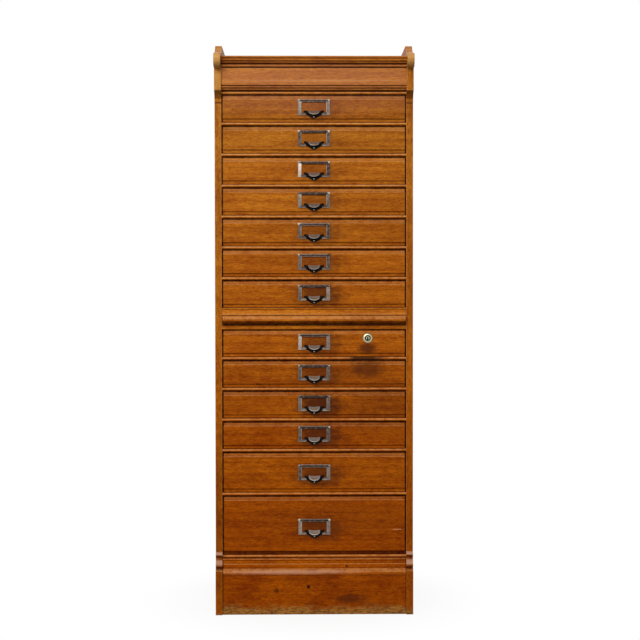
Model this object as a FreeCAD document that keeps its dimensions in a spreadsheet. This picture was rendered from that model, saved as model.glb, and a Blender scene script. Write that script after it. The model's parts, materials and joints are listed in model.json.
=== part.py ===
import FreeCAD, Part
import math
import os
import re

import Sketcher

# Filing chest: a tall, narrow oak chest of thirteen drawers with a pull-out writing slide at
# desk height, scroll-topped sides, a card-frame pull on every drawer and one cylinder lock.
# Millimetres. X runs to the right, the drawers face -Y, Z is up. The origin lies on the floor,
# in the middle of the chest. Inside this file depth is counted from the stile face, the flat
# front edge of the side boards: it grows towards the back, and it is negative in front.

doc = FreeCAD.newDocument("filing_chest")

# Driving sizes
SIZES = {
    # whole chest
    "overall_width": 495,
    "carcass_depth": 420,
    "side_thickness": 17,
    "housing_depth": 5,
    "housing_stop": 8,
    # heights of the openings between the rails, from the lowest drawer up
    "deepest_opening": 149,
    "deep_opening": 101.5,
    "small_opening": 69,
    "rail_thickness": 8,
    "slide_rail_thickness": 14,
    "waist_rail_thickness": 19,
    # rails and runners
    "rail_depth": 45,
    "rail_setback": 0.6,
    "runner_width": 20,
    "waist_fillet": 3,
    "waist_step": 2,
    "waist_hollow": 0.9,
    # cornice between the sides
    "top_board_thickness": 16.6,
    "top_board_reach": 28,
    "top_board_round": 5,
    "top_board_quirk_height": 2,
    "top_board_quirk_depth": 6,
    "top_board_band_setback": 3,
    "top_board_low_quirk_height": 2.2,
    "top_board_low_quirk_depth": 11,
    "top_board_fillet_height": 2.4,
    "top_board_fillet_setback": 6,
    "frieze_reach": 13,
    "frieze_reveal": 42.6,
    "frieze_thickness": 14,
    "cornice_moulding_back": 17,
    "cornice_quirk_reach": 6,
    "bed_quirk_height": 2.2,
    "bed_bead_reach": 17,
    "bed_bead_height": 5,
    "bed_bead_round": 1.7,
    "bed_neck_reach": 11,
    "bed_neck_height": 4.6,
    "lower_neck_setback": 9,
    "lower_neck_height": 3.5,
    "lower_step_reach": 7,
    "lower_step_height": 2.5,
    "lower_quirk_height": 1.8,
    "lower_bead_reach": 9.5,
    "lower_bead_height": 4.4,
    "lower_bead_round": 1.6,
    "frieze_quirk_height": 1.8,
    # scrolled top of the side boards
    "lobe_above_board": 6,
    "cap_rise": 28,
    "cap_setback": 37,
    "sweep_hollow": 7.3,
    "lobe_radius": 18,
    "scroll_reach": 50,
    "neck_reach": 20,
    "neck_height": 54,
    "undercut_reach": 12,
    "undercut_drop": 5,
    "cove_height": 20,
    "cove_hollow": 3.1,
    "nib_step": 1.5,
    "nib_height": 3,
    # moulded foot of the side boards' front edge
    "foot_moulding_rise": 8.5,
    "shoulder_reach": 7,
    "shoulder_slope": 5.5,
    "shoulder_fillet": 2.5,
    "scotia_height": 22,
    "scotia_hollow": 5.8,
    "torus_reach": 10,
    "torus_height": 6,
    "foot_quirk_reach": 5,
    "foot_quirk_height": 4,
    "toe_slope": 7,
    "toe_reach": 13,
    # plinth and base moulding between the sides
    "plinth_height": 100,
    "plinth_reach": 8,
    "plinth_thickness": 23,
    "base_moulding_back": 18,
    "base_quirk_setback": 2,
    "base_quirk_height": 1.5,
    "base_bead_height": 4,
    "base_bead_round": 1.3,
    "base_ledge_reach": 1.5,
    "base_ledge_height": 10.5,
    "base_ovolo_reach": 10,
    "base_ovolo_height": 11,
    "base_ovolo_round": 2.2,
    "base_toe_height": 4.5,
    "base_flat_height": 7.5,
    # back of the chest
    "back_thickness": 10,
    "back_lap": 8,
    "back_gap": 0.5,
    # drawer fronts
    "drawer_side_gap": 2,
    "drawer_gap_below": 0.6,
    "drawer_gap_above": 1.2,
    "drawer_end_gap": 0.5,
    "field_setback": 2,
    "front_thickness": 19,
    "strip_height": 8.2,
    "step_depth": 3.5,
    "step_fillet": 0.7,
    # drawer boxes
    "drawer_side_thickness": 9,
    "drawer_side_drop": 3,
    "drawer_back_thickness": 8,
    "drawer_back_drop": 5,
    "drawer_back_dado": 3,
    "drawer_bottom_thickness": 5,
    "drawer_bottom_lift": 6,
    "drawer_groove_depth": 4.5,
    "dovetail_lap": 3.5,
    "tail_flare": 2,
    "dovetail_pin_width": 6,
    # pull-out writing slide
    "slide_thickness": 20,
    "slide_lift": 0.5,
    "slide_gap_above": 0.5,
    "slide_nose_reach": 12,
    "slide_lipping_depth": 32,
    "slide_tongue_thickness": 7,
    "slide_tongue_length": 8,
    "slide_back_gap": 15,
    # card-frame pull
    "pull_width": 80,
    "pull_height": 39,
    "pull_plate": 1.8,
    "pull_side_strip": 9.2,
    "pull_cross_strip": 8.2,
    "pull_bead_width": 2.6,
    "pull_bead_rise": 1.3,
    "pull_dip_width": 40,
    "pull_dip_depth": 10,
    "pull_dip_flat": 12,
    "pull_dip_round": 3,
    "pull_ear_radius": 4.5,
    "pull_ear_spread": 77,
    "pull_ear_drop": 2.5,
    "lip_radius": 15.5,
    "lip_thickness": 2.4,
    "lip_slope": 37,
    "lip_root_height": 8.6,
    "lip_root_depth": 0.9,
    "lip_dish_radius": 48,
    "lip_dish_depth": 1.2,
    "shoulder_boss_radius": 7.5,
    "shoulder_boss_spread": 37,
    "shoulder_boss_height": 3.8,
    "shoulder_boss_sink": 1.5,
    "pull_shift_small": 4,
    "pull_shift_deep": 0.5,
    "pull_shift_deepest": -3.2,
    "pin_head_radius": 2.5,
    "pin_head_rise": 1.5,
    "pin_shank_radius": 0.9,
    "pin_length": 9,
    "pin_dip_height": -5,
    # cylinder lock of the eighth drawer
    "lock_end_distance": 94.5,
    "lock_drop": 21.5,
    "lock_flange_radius": 13,
    "lock_flange_rise": 4.5,
    "lock_flange_edge": 1.2,
    "lock_flange_flat": 2.4,
    "lock_barrel_radius": 9,
    "lock_plug_radius": 6.3,
    "lock_plug_clearance": 0.05,
    "lock_plug_hole_clearance": 0.2,
    "lock_plug_rise": 0.8,
    "lock_key_width": 1.6,
    "lock_key_height": 8,
    "lock_key_depth": 5,
    "lock_case_width": 56,
    "lock_case_below": 16,
    "lock_case_depth": 9.5,
    "lock_case_wall": 1.5,
    "lock_plate_width": 78,
    "lock_plate_thickness": 1.5,
    "lock_cam_radius": 5,
    "lock_cam_pin_radius": 1.5,
    "lock_cam_rest": 45,
    "lock_cam_clearance": 0.35,
    "lock_bolt_width": 22,
    "lock_bolt_thickness": 3.5,
    "lock_bolt_tail": 7.5,
    "lock_bolt_sink": 0.5,
    "lock_bolt_clearance": 0.3,
    "lock_bolt_standoff": 1,
    "lock_mortise_clearance": 0.6,
    "lock_mortise_depth": 8,
    "lock_screw_head_radius": 3,
    "lock_screw_shank_radius": 1.6,
    "lock_screw_length": 9,
    "lock_screw_inset": 5,
    "lock_screw_drop": 10,
}
UPPER_DRAWERS = 7
LOWER_SMALL_DRAWERS = 4
BACK_BOARDS = 4

sheet = doc.addObject("Spreadsheet::Sheet", "Sizes")
for row, (alias, size) in enumerate(SIZES.items(), start=1):
    sheet.set(f"A{row}", alias.replace("_", " "))
    sheet.set(f"B{row}", str(size))
    sheet.setAlias(f"B{row}", alias)
doc.recompute()


# Expressions
def from_sheet(text):
    """Turn plain size names into references to the sheet."""
    def reference(match):
        word = match.group()
        return f"Sizes.{word}" if word in SIZES else word
    return re.sub(r"[a-z_]+", reference, text)


def value(text):
    return float(sheet.evalExpression(from_sheet(text)))


def bind(item, path, text):
    item.setExpression(path, from_sheet(text))


def place(item, x="0", y="0", z="0"):
    for axis, text in zip("xyz", (x, y, z)):
        bind(item, f"Placement.Base.{axis}", text)
    return item


# Shapes shared by many pieces
def board(name, width, depth, height, x="0", y="0", z="0"):
    """A plain board, centred on x across the chest."""
    piece = doc.addObject("Part::Box", name)
    bind(piece, "Length", width)
    bind(piece, "Width", depth)
    bind(piece, "Height", height)
    return place(piece, f"{x} - ({width}) / 2", y, z)


def turn_about_x(item, angle):
    """Lean an upright piece towards the front, by a right angle to lay it down."""
    lean = FreeCAD.Rotation(FreeCAD.Vector(1, 0, 0), value(angle))
    item.Placement = FreeCAD.Placement(FreeCAD.Vector(), lean)
    bind(item, "Placement.Rotation.Angle", angle)


def rod(name, radius, length, x, y, z):
    """A round bar that points forwards."""
    piece = doc.addObject("Part::Cylinder", name)
    bind(piece, "Radius", radius)
    bind(piece, "Height", length)
    turn_about_x(piece, "90")
    return place(piece, x, y, z)


def cut(name, base, *tools):
    """Take the mating pieces out of a blank."""
    result = doc.addObject("Part::Cut", f"{name}_cut")
    result.Base = base
    result.Tool = tools[0] if len(tools) == 1 else group(f"{name}_tools", tools)
    return result


def group(name, pieces, x="0", y="0", z="0"):
    """Separate solids kept side by side and placed together."""
    collection = doc.addObject("Part::Compound", name)
    collection.Links = pieces
    return place(collection, x, y, z)


def fused(name, pieces):
    joined = doc.addObject("Part::MultiFuse", name)
    joined.Shapes = pieces
    joined.Refine = True
    return joined


def origin_plane(body, role):
    return next(item for item in body.Origin.OriginFeatures if item.Role == role)


def arc_between(start, end, radius, bulge):
    """The shorter arc between two points. It bulges to the left or right of the way from start to end."""
    chord = end.sub(start)
    left = FreeCAD.Vector(-chord.y, chord.x, 0).normalize()
    towards_centre = left if bulge == "right" else left.negative()
    half = chord.Length / 2
    centre = start.add(chord.multiply(0.5)).add(towards_centre.multiply(math.sqrt(radius ** 2 - half ** 2)))
    first, last = (start, end) if bulge == "right" else (end, start)
    angles = [math.atan2(point.y - centre.y, point.x - centre.x) for point in (first, last)]
    circle = Part.Circle(centre, FreeCAD.Vector(0, 0, 1), radius)
    return Part.ArcOfCircle(circle, angles[0], angles[1])


def draw_loop(sketch, corners):
    """A closed line through the corners, each tied to the sizes.

    A corner is (across, up), or (across, up, radius, bulge) where an arc arrives at it.
    """
    points = [FreeCAD.Vector(value(corner[0]), value(corner[1]), 0) for corner in corners]
    edges = []
    for number, corner in enumerate(corners):
        start, end = points[number - 1], points[number]
        if len(corner) == 2:
            edge = sketch.addGeometry(Part.LineSegment(start, end), False)
            edges.append((edge, 1, 2))
            continue
        radius, bulge = corner[2:]
        edge = sketch.addGeometry(arc_between(start, end, value(radius), bulge), False)
        edges.append((edge, 1, 2) if bulge == "right" else (edge, 2, 1))
        constraint = sketch.addConstraint(Sketcher.Constraint("Radius", edge, value(radius)))
        bind(sketch, f"Constraints[{constraint}]", radius)
    for number, (edge, _, end) in enumerate(edges):
        following, start, _ = edges[(number + 1) % len(edges)]
        sketch.addConstraint(Sketcher.Constraint("Coincident", edge, end, following, start))
        for kind, text, size in (("DistanceX", corners[number][0], points[number].x),
                                 ("DistanceY", corners[number][1], points[number].y)):
            constraint = sketch.addConstraint(Sketcher.Constraint(kind, -1, 1, edge, end, size))
            bind(sketch, f"Constraints[{constraint}]", text)


def draw_circle(sketch, x, z, radius):
    centre = FreeCAD.Vector(value(x), value(z), 0)
    edge = sketch.addGeometry(Part.Circle(centre, FreeCAD.Vector(0, 0, 1), value(radius)), False)
    for kind, text, size in (("DistanceX", x, centre.x), ("DistanceY", z, centre.y)):
        constraint = sketch.addConstraint(Sketcher.Constraint(kind, -1, 1, edge, 3, size))
        bind(sketch, f"Constraints[{constraint}]", text)
    constraint = sketch.addConstraint(Sketcher.Constraint("Radius", edge, value(radius)))
    bind(sketch, f"Constraints[{constraint}]", radius)


def arc_radius(across, up, rise):
    """Radius of the arc that rises so far from a chord of this run and height."""
    return f"((({across}) ^ 2 + ({up}) ^ 2) / 4 + ({rise}) ^ 2) / (2 * ({rise}))"


def new_sketch(body, name, role, lift="0"):
    sketch = body.newObject("Sketcher::SketchObject", name)
    sketch.AttachmentSupport = [(origin_plane(body, role), "")]
    sketch.MapMode = "FlatFace"
    bind(sketch, "AttachmentOffset.Base.z", lift)
    return sketch


def section_sketch(body, name, *loops):
    """A section seen from the side of the chest: depth across, height up."""
    sketch = new_sketch(body, name, "YZ_Plane")
    for corners in loops:
        draw_loop(sketch, corners)
    return sketch


def face_sketch(body, name, *loops, lift="0"):
    """A shape seen from the front of the chest, lifted towards the viewer."""
    sketch = new_sketch(body, name, "XZ_Plane", lift)
    for corners in loops:
        draw_loop(sketch, corners)
    return sketch


def pad(body, sketch, length, both_ways=False):
    feature = body.newObject("PartDesign::Pad", f"{sketch.Name}_pad")
    feature.Profile = sketch
    feature.SideType = "Symmetric" if both_ways else "One side"
    bind(feature, "Length", length)
    return feature


def pocket(body, sketch, length, towards_viewer=False):
    feature = body.newObject("PartDesign::Pocket", f"{sketch.Name}_pocket")
    feature.Profile = sketch
    feature.Reversed = towards_viewer
    bind(feature, "Length", length)
    return feature


def turned(name, corners):
    """A turned piece: (radius, distance behind the face) corners spun about the Y axis."""
    body = doc.addObject("PartDesign::Body", name)
    sketch = new_sketch(body, f"{name}_profile", "XY_Plane")
    draw_loop(sketch, corners)
    feature = body.newObject("PartDesign::Revolution", f"{name}_turning")
    feature.Profile = sketch
    feature.ReferenceAxis = (sketch, ["V_Axis"])
    feature.Angle = 360
    return body


def moulding(name, width, corners):
    """A length of moulding across the chest, from its section."""
    body = doc.addObject("PartDesign::Body", name)
    pad(body, section_sketch(body, f"{name}_section", corners), width, both_ways=True)
    return body


def rectangle(left, right, low, high):
    return [(left, low), (left, high), (right, high), (right, low)]


# Levels and places that many pieces share
INNER_WIDTH = "(overall_width - 2 * side_thickness)"
HOUSED_WIDTH = f"({INNER_WIDTH} + 2 * housing_depth)"
BACK_INSIDE = "(carcass_depth - back_thickness)"
STILE_FACE = "(scroll_reach - carcass_depth) / 2"
FRONT_WIDTH = f"({INNER_WIDTH} - 2 * drawer_side_gap)"

BASE_FLAT_LOW = "(base_toe_height + base_ovolo_height + base_ledge_height + base_ledge_reach)"
BASE_HEIGHT = f"({BASE_FLAT_LOW} + base_flat_height + base_bead_height + base_quirk_height)"
BASE_RAIL_LEVEL = f"(plinth_height + {BASE_HEIGHT})"
DEEPEST_FLOOR = f"({BASE_RAIL_LEVEL} + rail_thickness)"
DEEP_FLOOR = f"({DEEPEST_FLOOR} + deepest_opening + rail_thickness)"
LOWER_FLOOR = f"({DEEP_FLOOR} + deep_opening + rail_thickness)"
PITCH = "(small_opening + rail_thickness)"
SLIDE_RAIL_LEVEL = f"({LOWER_FLOOR} + {LOWER_SMALL_DRAWERS} * {PITCH} - rail_thickness)"
SLIDE_LEVEL = f"({SLIDE_RAIL_LEVEL} + slide_rail_thickness + slide_lift)"
WAIST_RAIL_LEVEL = f"({SLIDE_LEVEL} + slide_thickness + slide_gap_above)"
UPPER_FLOOR = f"({WAIST_RAIL_LEVEL} + waist_rail_thickness)"
TOP_RAIL_LEVEL = f"({UPPER_FLOOR} + {UPPER_DRAWERS} * {PITCH} - rail_thickness)"
CORNICE_FLOOR = f"({TOP_RAIL_LEVEL} + rail_thickness)"
LOWER_BEAD_LOW = "(lower_neck_height + lower_step_height + lower_quirk_height)"
LOWER_MOULDING_HEIGHT = f"({LOWER_BEAD_LOW} + lower_bead_height + frieze_quirk_height)"
BED_BEAD_HIGH = "(bed_quirk_height + bed_bead_height)"
BED_MOULDING_HEIGHT = f"({BED_BEAD_HIGH} + bed_neck_height)"
TOP_BOARD_LEVEL = f"({CORNICE_FLOOR} + {LOWER_MOULDING_HEIGHT} + frieze_reveal + {BED_MOULDING_HEIGHT})"
LOBE_TOP = f"({TOP_BOARD_LEVEL} + top_board_thickness + lobe_above_board)"

# Drawers are numbered from the top: 1 to 7 above the slide, 8 to 11 below it, then two deeper ones
LAST_DRAWER = UPPER_DRAWERS + LOWER_SMALL_DRAWERS + 2
DRAWER_FLOORS = {LAST_DRAWER: DEEPEST_FLOOR, LAST_DRAWER - 1: DEEP_FLOOR}
for step in range(LOWER_SMALL_DRAWERS):
    DRAWER_FLOORS[LAST_DRAWER - 2 - step] = f"({LOWER_FLOOR} + {step} * {PITCH})"
for step in range(UPPER_DRAWERS):
    DRAWER_FLOORS[UPPER_DRAWERS - step] = f"({UPPER_FLOOR} + {step} * {PITCH})"
LOCKED_DRAWER = UPPER_DRAWERS + 1

# A thin rail lies under every drawer but the one above the waist rail, and one over the first drawer
THIN_RAIL_LEVELS = [f"({DRAWER_FLOORS[number]} - rail_thickness)"
                    for number in range(LAST_DRAWER, 0, -1) if number != UPPER_DRAWERS]
THIN_RAIL_LEVELS.append(TOP_RAIL_LEVEL)


# Rails and runners
def housed_rail(name, section, depth, thickness):
    """A rail with its moulded nose between the sides and a tongue housed in each of them."""
    body = doc.addObject("PartDesign::Body", name)
    pad(body, section_sketch(body, f"{name}_section", section), INNER_WIDTH, both_ways=True)
    tongue = rectangle("housing_stop", depth, "0", thickness)
    pad(body, section_sketch(body, f"{name}_tongue", tongue), HOUSED_WIDTH, both_ways=True)
    return body


thin_rail = housed_rail(
    "thin_rail",
    [("rail_setback + rail_thickness / 2", "0"),
     ("rail_setback", "rail_thickness / 2", "rail_thickness / 2", "left"),
     ("rail_setback + rail_thickness / 2", "rail_thickness", "rail_thickness / 2", "left"),
     ("rail_depth", "rail_thickness"),
     ("rail_depth", "0")],
    "rail_depth", "rail_thickness")
thin_rails = [group(f"thin_rail_{count}", [thin_rail], z=level)
              for count, level in enumerate(THIN_RAIL_LEVELS, start=1)]

waist_rail = housed_rail(
    "waist_rail_blank",
    [("rail_setback", "0"),
     ("rail_setback + waist_step", "waist_rail_thickness - waist_fillet",
      arc_radius("waist_step", "waist_rail_thickness - waist_fillet", "waist_hollow"), "right"),
     ("rail_setback", "waist_rail_thickness - waist_fillet"),
     ("rail_setback", "waist_rail_thickness"),
     ("rail_depth", "waist_rail_thickness"),
     ("rail_depth", "0")],
    "rail_depth", "waist_rail_thickness")
place(waist_rail, z=WAIST_RAIL_LEVEL)

slide_rail_blank = housed_rail(
    "slide_rail_blank",
    rectangle("rail_setback", "rail_depth", "0", "slide_rail_thickness"),
    "rail_depth", "slide_rail_thickness")
place(slide_rail_blank, z=SLIDE_RAIL_LEVEL)


def runners(hand, direction):
    """One runner behind each rail, housed in the side board."""
    width = "(runner_width + housing_depth)"
    middle = f"{direction} * ({INNER_WIDTH} / 2 + housing_depth - {width} / 2)"
    levels = [(level, "rail_thickness") for level in THIN_RAIL_LEVELS[1:]]
    levels += [(SLIDE_RAIL_LEVEL, "slide_rail_thickness"), (WAIST_RAIL_LEVEL, "waist_rail_thickness")]
    return [board(f"runner_{hand}_{count}", width, f"{BACK_INSIDE} - rail_depth", thickness,
                  x=middle, y="rail_depth", z=level)
            for count, (level, thickness) in enumerate(levels, start=1)]


runners_left = group("runners_left_set", runners("left", -1))
runners_right = group("runners_right_set", runners("right", 1))
bottom_board = board("bottom_panel", HOUSED_WIDTH, f"{BACK_INSIDE} - rail_depth", "rail_thickness",
                     y="rail_depth", z=BASE_RAIL_LEVEL)

# Cornice
QUIRK_HIGH = "(top_board_thickness - top_board_round)"
QUIRK_LOW = f"({QUIRK_HIGH} - top_board_quirk_height)"
LOW_QUIRK_HIGH = "(top_board_fillet_height + top_board_low_quirk_height)"
top_board = moulding(
    "top_panel", HOUSED_WIDTH,
    [("carcass_depth", "0"),
     ("top_board_fillet_setback - top_board_reach", "0"),
     ("top_board_fillet_setback - top_board_reach", "top_board_fillet_height"),
     ("top_board_low_quirk_depth - top_board_reach", "top_board_fillet_height"),
     ("top_board_low_quirk_depth - top_board_reach", LOW_QUIRK_HIGH),
     ("top_board_band_setback - top_board_reach", LOW_QUIRK_HIGH),
     ("top_board_band_setback - top_board_reach", QUIRK_LOW),
     ("top_board_quirk_depth - top_board_reach", QUIRK_LOW),
     ("top_board_quirk_depth - top_board_reach", QUIRK_HIGH),
     ("0 - top_board_reach", QUIRK_HIGH),
     ("top_board_round - top_board_reach", "top_board_thickness", "top_board_round", "left"),
     ("carcass_depth", "top_board_thickness")])
place(top_board, z=TOP_BOARD_LEVEL)

# The frieze stands on the lower moulding and carries the bed moulding, on which the top board lies
frieze = board("frieze_panel", INNER_WIDTH, "frieze_thickness", "frieze_reveal", y="0 - frieze_reach",
               z=f"{CORNICE_FLOOR} + {LOWER_MOULDING_HEIGHT}")
bed_moulding = moulding(
    "bed_moulding", INNER_WIDTH,
    [("cornice_moulding_back", "0"),
     ("0 - cornice_quirk_reach", "0"),
     ("0 - cornice_quirk_reach", "bed_quirk_height"),
     ("0 - bed_bead_reach", "bed_quirk_height"),
     ("0 - bed_bead_reach", BED_BEAD_HIGH, arc_radius("0", "bed_bead_height", "bed_bead_round"), "left"),
     ("0 - bed_neck_reach", BED_BEAD_HIGH),
     ("0 - bed_neck_reach", BED_MOULDING_HEIGHT),
     ("cornice_moulding_back", BED_MOULDING_HEIGHT)])
place(bed_moulding, z=f"{CORNICE_FLOOR} + {LOWER_MOULDING_HEIGHT} + frieze_reveal")
lower_moulding = moulding(
    "lower_moulding", INNER_WIDTH,
    [("cornice_moulding_back", "0"),
     ("lower_neck_setback", "0"),
     ("lower_neck_setback", "lower_neck_height"),
     ("0 - lower_step_reach", "lower_neck_height"),
     ("0 - lower_step_reach", "lower_neck_height + lower_step_height"),
     ("0 - cornice_quirk_reach", "lower_neck_height + lower_step_height"),
     ("0 - cornice_quirk_reach", LOWER_BEAD_LOW),
     ("0 - lower_bead_reach", LOWER_BEAD_LOW),
     ("0 - lower_bead_reach", f"{LOWER_BEAD_LOW} + lower_bead_height",
      arc_radius("0", "lower_bead_height", "lower_bead_round"), "left"),
     ("0 - cornice_quirk_reach", f"{LOWER_BEAD_LOW} + lower_bead_height"),
     ("0 - cornice_quirk_reach", LOWER_MOULDING_HEIGHT),
     ("cornice_moulding_back", LOWER_MOULDING_HEIGHT)])
place(lower_moulding, z=CORNICE_FLOOR)

# Plinth, base moulding and back
plinth = board("plinth_panel", INNER_WIDTH, "plinth_thickness", "plinth_height", y="0 - plinth_reach")

BASE_LEDGE_LOW = "(base_toe_height + base_ovolo_height)"
BASE_BEAD_LOW = f"({BASE_FLAT_LOW} + base_flat_height)"
base_moulding = moulding(
    "base_moulding_blank", INNER_WIDTH,
    [("base_moulding_back", "0"),
     ("0 - base_ovolo_reach", "0"),
     ("0 - base_ovolo_reach", "base_toe_height"),
     ("0 - base_ledge_reach", BASE_LEDGE_LOW,
      arc_radius("base_ovolo_reach - base_ledge_reach", "base_ovolo_height", "base_ovolo_round"), "left"),
     ("0 - base_ledge_reach", f"{BASE_LEDGE_LOW} + base_ledge_height"),
     ("0", BASE_FLAT_LOW),
     ("0", BASE_BEAD_LOW),
     ("0", f"{BASE_BEAD_LOW} + base_bead_height",
      arc_radius("0", "base_bead_height", "base_bead_round"), "left"),
     ("base_quirk_setback", f"{BASE_BEAD_LOW} + base_bead_height"),
     ("base_quirk_setback", BASE_HEIGHT),
     ("base_moulding_back", BASE_HEIGHT)])
place(base_moulding, z="plinth_height")

# The back is made of boards lapped edge over edge
BACK_PITCH = f"(({HOUSED_WIDTH} - back_lap) / {BACK_BOARDS})"
HALF_LAP = f"({BACK_INSIDE} + back_thickness / 2)"
back_board = doc.addObject("PartDesign::Body", "back_board")
back_section = new_sketch(back_board, "back_board_section", "XY_Plane")
draw_loop(back_section, [
    ("back_lap", BACK_INSIDE),
    (f"{BACK_PITCH} + back_lap - back_gap", BACK_INSIDE),
    (f"{BACK_PITCH} + back_lap - back_gap", HALF_LAP),
    (BACK_PITCH, HALF_LAP),
    (BACK_PITCH, "carcass_depth"),
    ("back_gap", "carcass_depth"),
    ("back_gap", HALF_LAP),
    ("back_lap", HALF_LAP)])
pad(back_board, back_section, f"{TOP_BOARD_LEVEL} - plinth_height")
back_boards = [group(f"back_board_{count + 1}", [back_board],
                     x=f"{count} * {BACK_PITCH} - {HOUSED_WIDTH} / 2", z="plinth_height")
               for count in range(BACK_BOARDS)]

# Side boards: the front edge is one outline from the scroll at the top to the toe on the floor
LOBE_MIDDLE = "(lobe_radius - scroll_reach)"
LOBE_LOW = f"({LOBE_TOP} - 2 * lobe_radius)"
NECK_LOW = f"({LOBE_LOW} - neck_height)"
COVE_HIGH = f"({NECK_LOW} - undercut_drop)"
COVE_LOW = f"({COVE_HIGH} - cove_height)"
FOOT_MOULDING_TOP = f"({DEEPEST_FLOOR} + foot_moulding_rise)"
SCOTIA_HIGH = f"({FOOT_MOULDING_TOP} - shoulder_slope - shoulder_fillet)"
SCOTIA_LOW = f"({SCOTIA_HIGH} - scotia_height)"
TORUS_LOW = f"({SCOTIA_LOW} - torus_height)"
FOOT_QUIRK_LOW = f"({TORUS_LOW} - foot_quirk_height)"
SIDE_OUTLINE = [
    ("carcass_depth", "0"),
    ("0 - toe_reach", "0"),
    ("0 - toe_reach", f"{FOOT_QUIRK_LOW} - toe_slope"),
    ("0 - foot_quirk_reach", FOOT_QUIRK_LOW),
    ("0 - torus_reach", TORUS_LOW),
    ("0 - torus_reach", SCOTIA_LOW),
    ("0 - shoulder_reach", SCOTIA_HIGH,
     arc_radius("torus_reach - shoulder_reach", "scotia_height", "scotia_hollow"), "right"),
    ("0 - shoulder_reach", f"{FOOT_MOULDING_TOP} - shoulder_slope"),
    ("0", FOOT_MOULDING_TOP),
    ("0", f"{COVE_LOW} - nib_height"),
    ("0 - nib_step", f"{COVE_LOW} - nib_height"),
    ("0 - nib_step", COVE_LOW),
    ("0 - undercut_reach", COVE_HIGH,
     arc_radius("undercut_reach - nib_step", "cove_height", "cove_hollow"), "right"),
    ("0 - neck_reach", NECK_LOW),
    ("0 - neck_reach", LOBE_LOW),
    (LOBE_MIDDLE, LOBE_LOW),
    ("0 - scroll_reach", f"{LOBE_LOW} + lobe_radius", "lobe_radius", "left"),
    (LOBE_MIDDLE, LOBE_TOP, "lobe_radius", "left"),
    ("cap_setback", f"{LOBE_TOP} + cap_rise",
     arc_radius(f"cap_setback - {LOBE_MIDDLE}", "cap_rise", "sweep_hollow"), "right"),
    ("carcass_depth", f"{LOBE_TOP} + cap_rise"),
]


def side_board(hand, left_edge):
    """A side board with its housings cut by what they hold."""
    body = doc.addObject("PartDesign::Body", f"side_blank_{hand}")
    pad(body, section_sketch(body, f"side_outline_{hand}", SIDE_OUTLINE), "side_thickness")
    place(body, x=left_edge)
    rails = group(f"rails_for_{hand}", thin_rails)
    boards = group(f"back_for_{hand}", [back_boards[0 if hand == "left" else -1]])
    supports = runners_left if hand == "left" else runners_right
    return cut(f"side_{hand}", body, rails, waist_rail, slide_rail_blank, supports,
               bottom_board, top_board, boards)


side_left = side_board("left", "0 - overall_width / 2")
side_right = side_board("right", "overall_width / 2 - side_thickness")

# Writing slide
LIPPING_BACK = "(slide_lipping_depth - slide_nose_reach)"
NOSE_RADIUS = "slide_thickness / 2"
slide_board_flat = board("slide_board_flat", FRONT_WIDTH,
                         f"{BACK_INSIDE} - slide_back_gap - {LIPPING_BACK}", "slide_thickness",
                         y=LIPPING_BACK, z=SLIDE_LEVEL)
slide_tongue = board("slide_tongue", FRONT_WIDTH, "2 * slide_tongue_length", "slide_tongue_thickness",
                     y=f"{LIPPING_BACK} - slide_tongue_length",
                     z=f"{SLIDE_LEVEL} + (slide_thickness - slide_tongue_thickness) / 2")
slide_board = fused("slide_board_tongued", [slide_board_flat, slide_tongue])
slide_nose = moulding(
    "slide_nose_blank", FRONT_WIDTH,
    [(LIPPING_BACK, "0"),
     (f"{NOSE_RADIUS} - slide_nose_reach", "0"),
     ("0 - slide_nose_reach", NOSE_RADIUS, NOSE_RADIUS, "left"),
     (f"{NOSE_RADIUS} - slide_nose_reach", "slide_thickness", NOSE_RADIUS, "left"),
     (LIPPING_BACK, "slide_thickness")])
place(slide_nose, z=SLIDE_LEVEL)
slide_lipping = cut("slide_lipping", slide_nose, slide_board)


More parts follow.
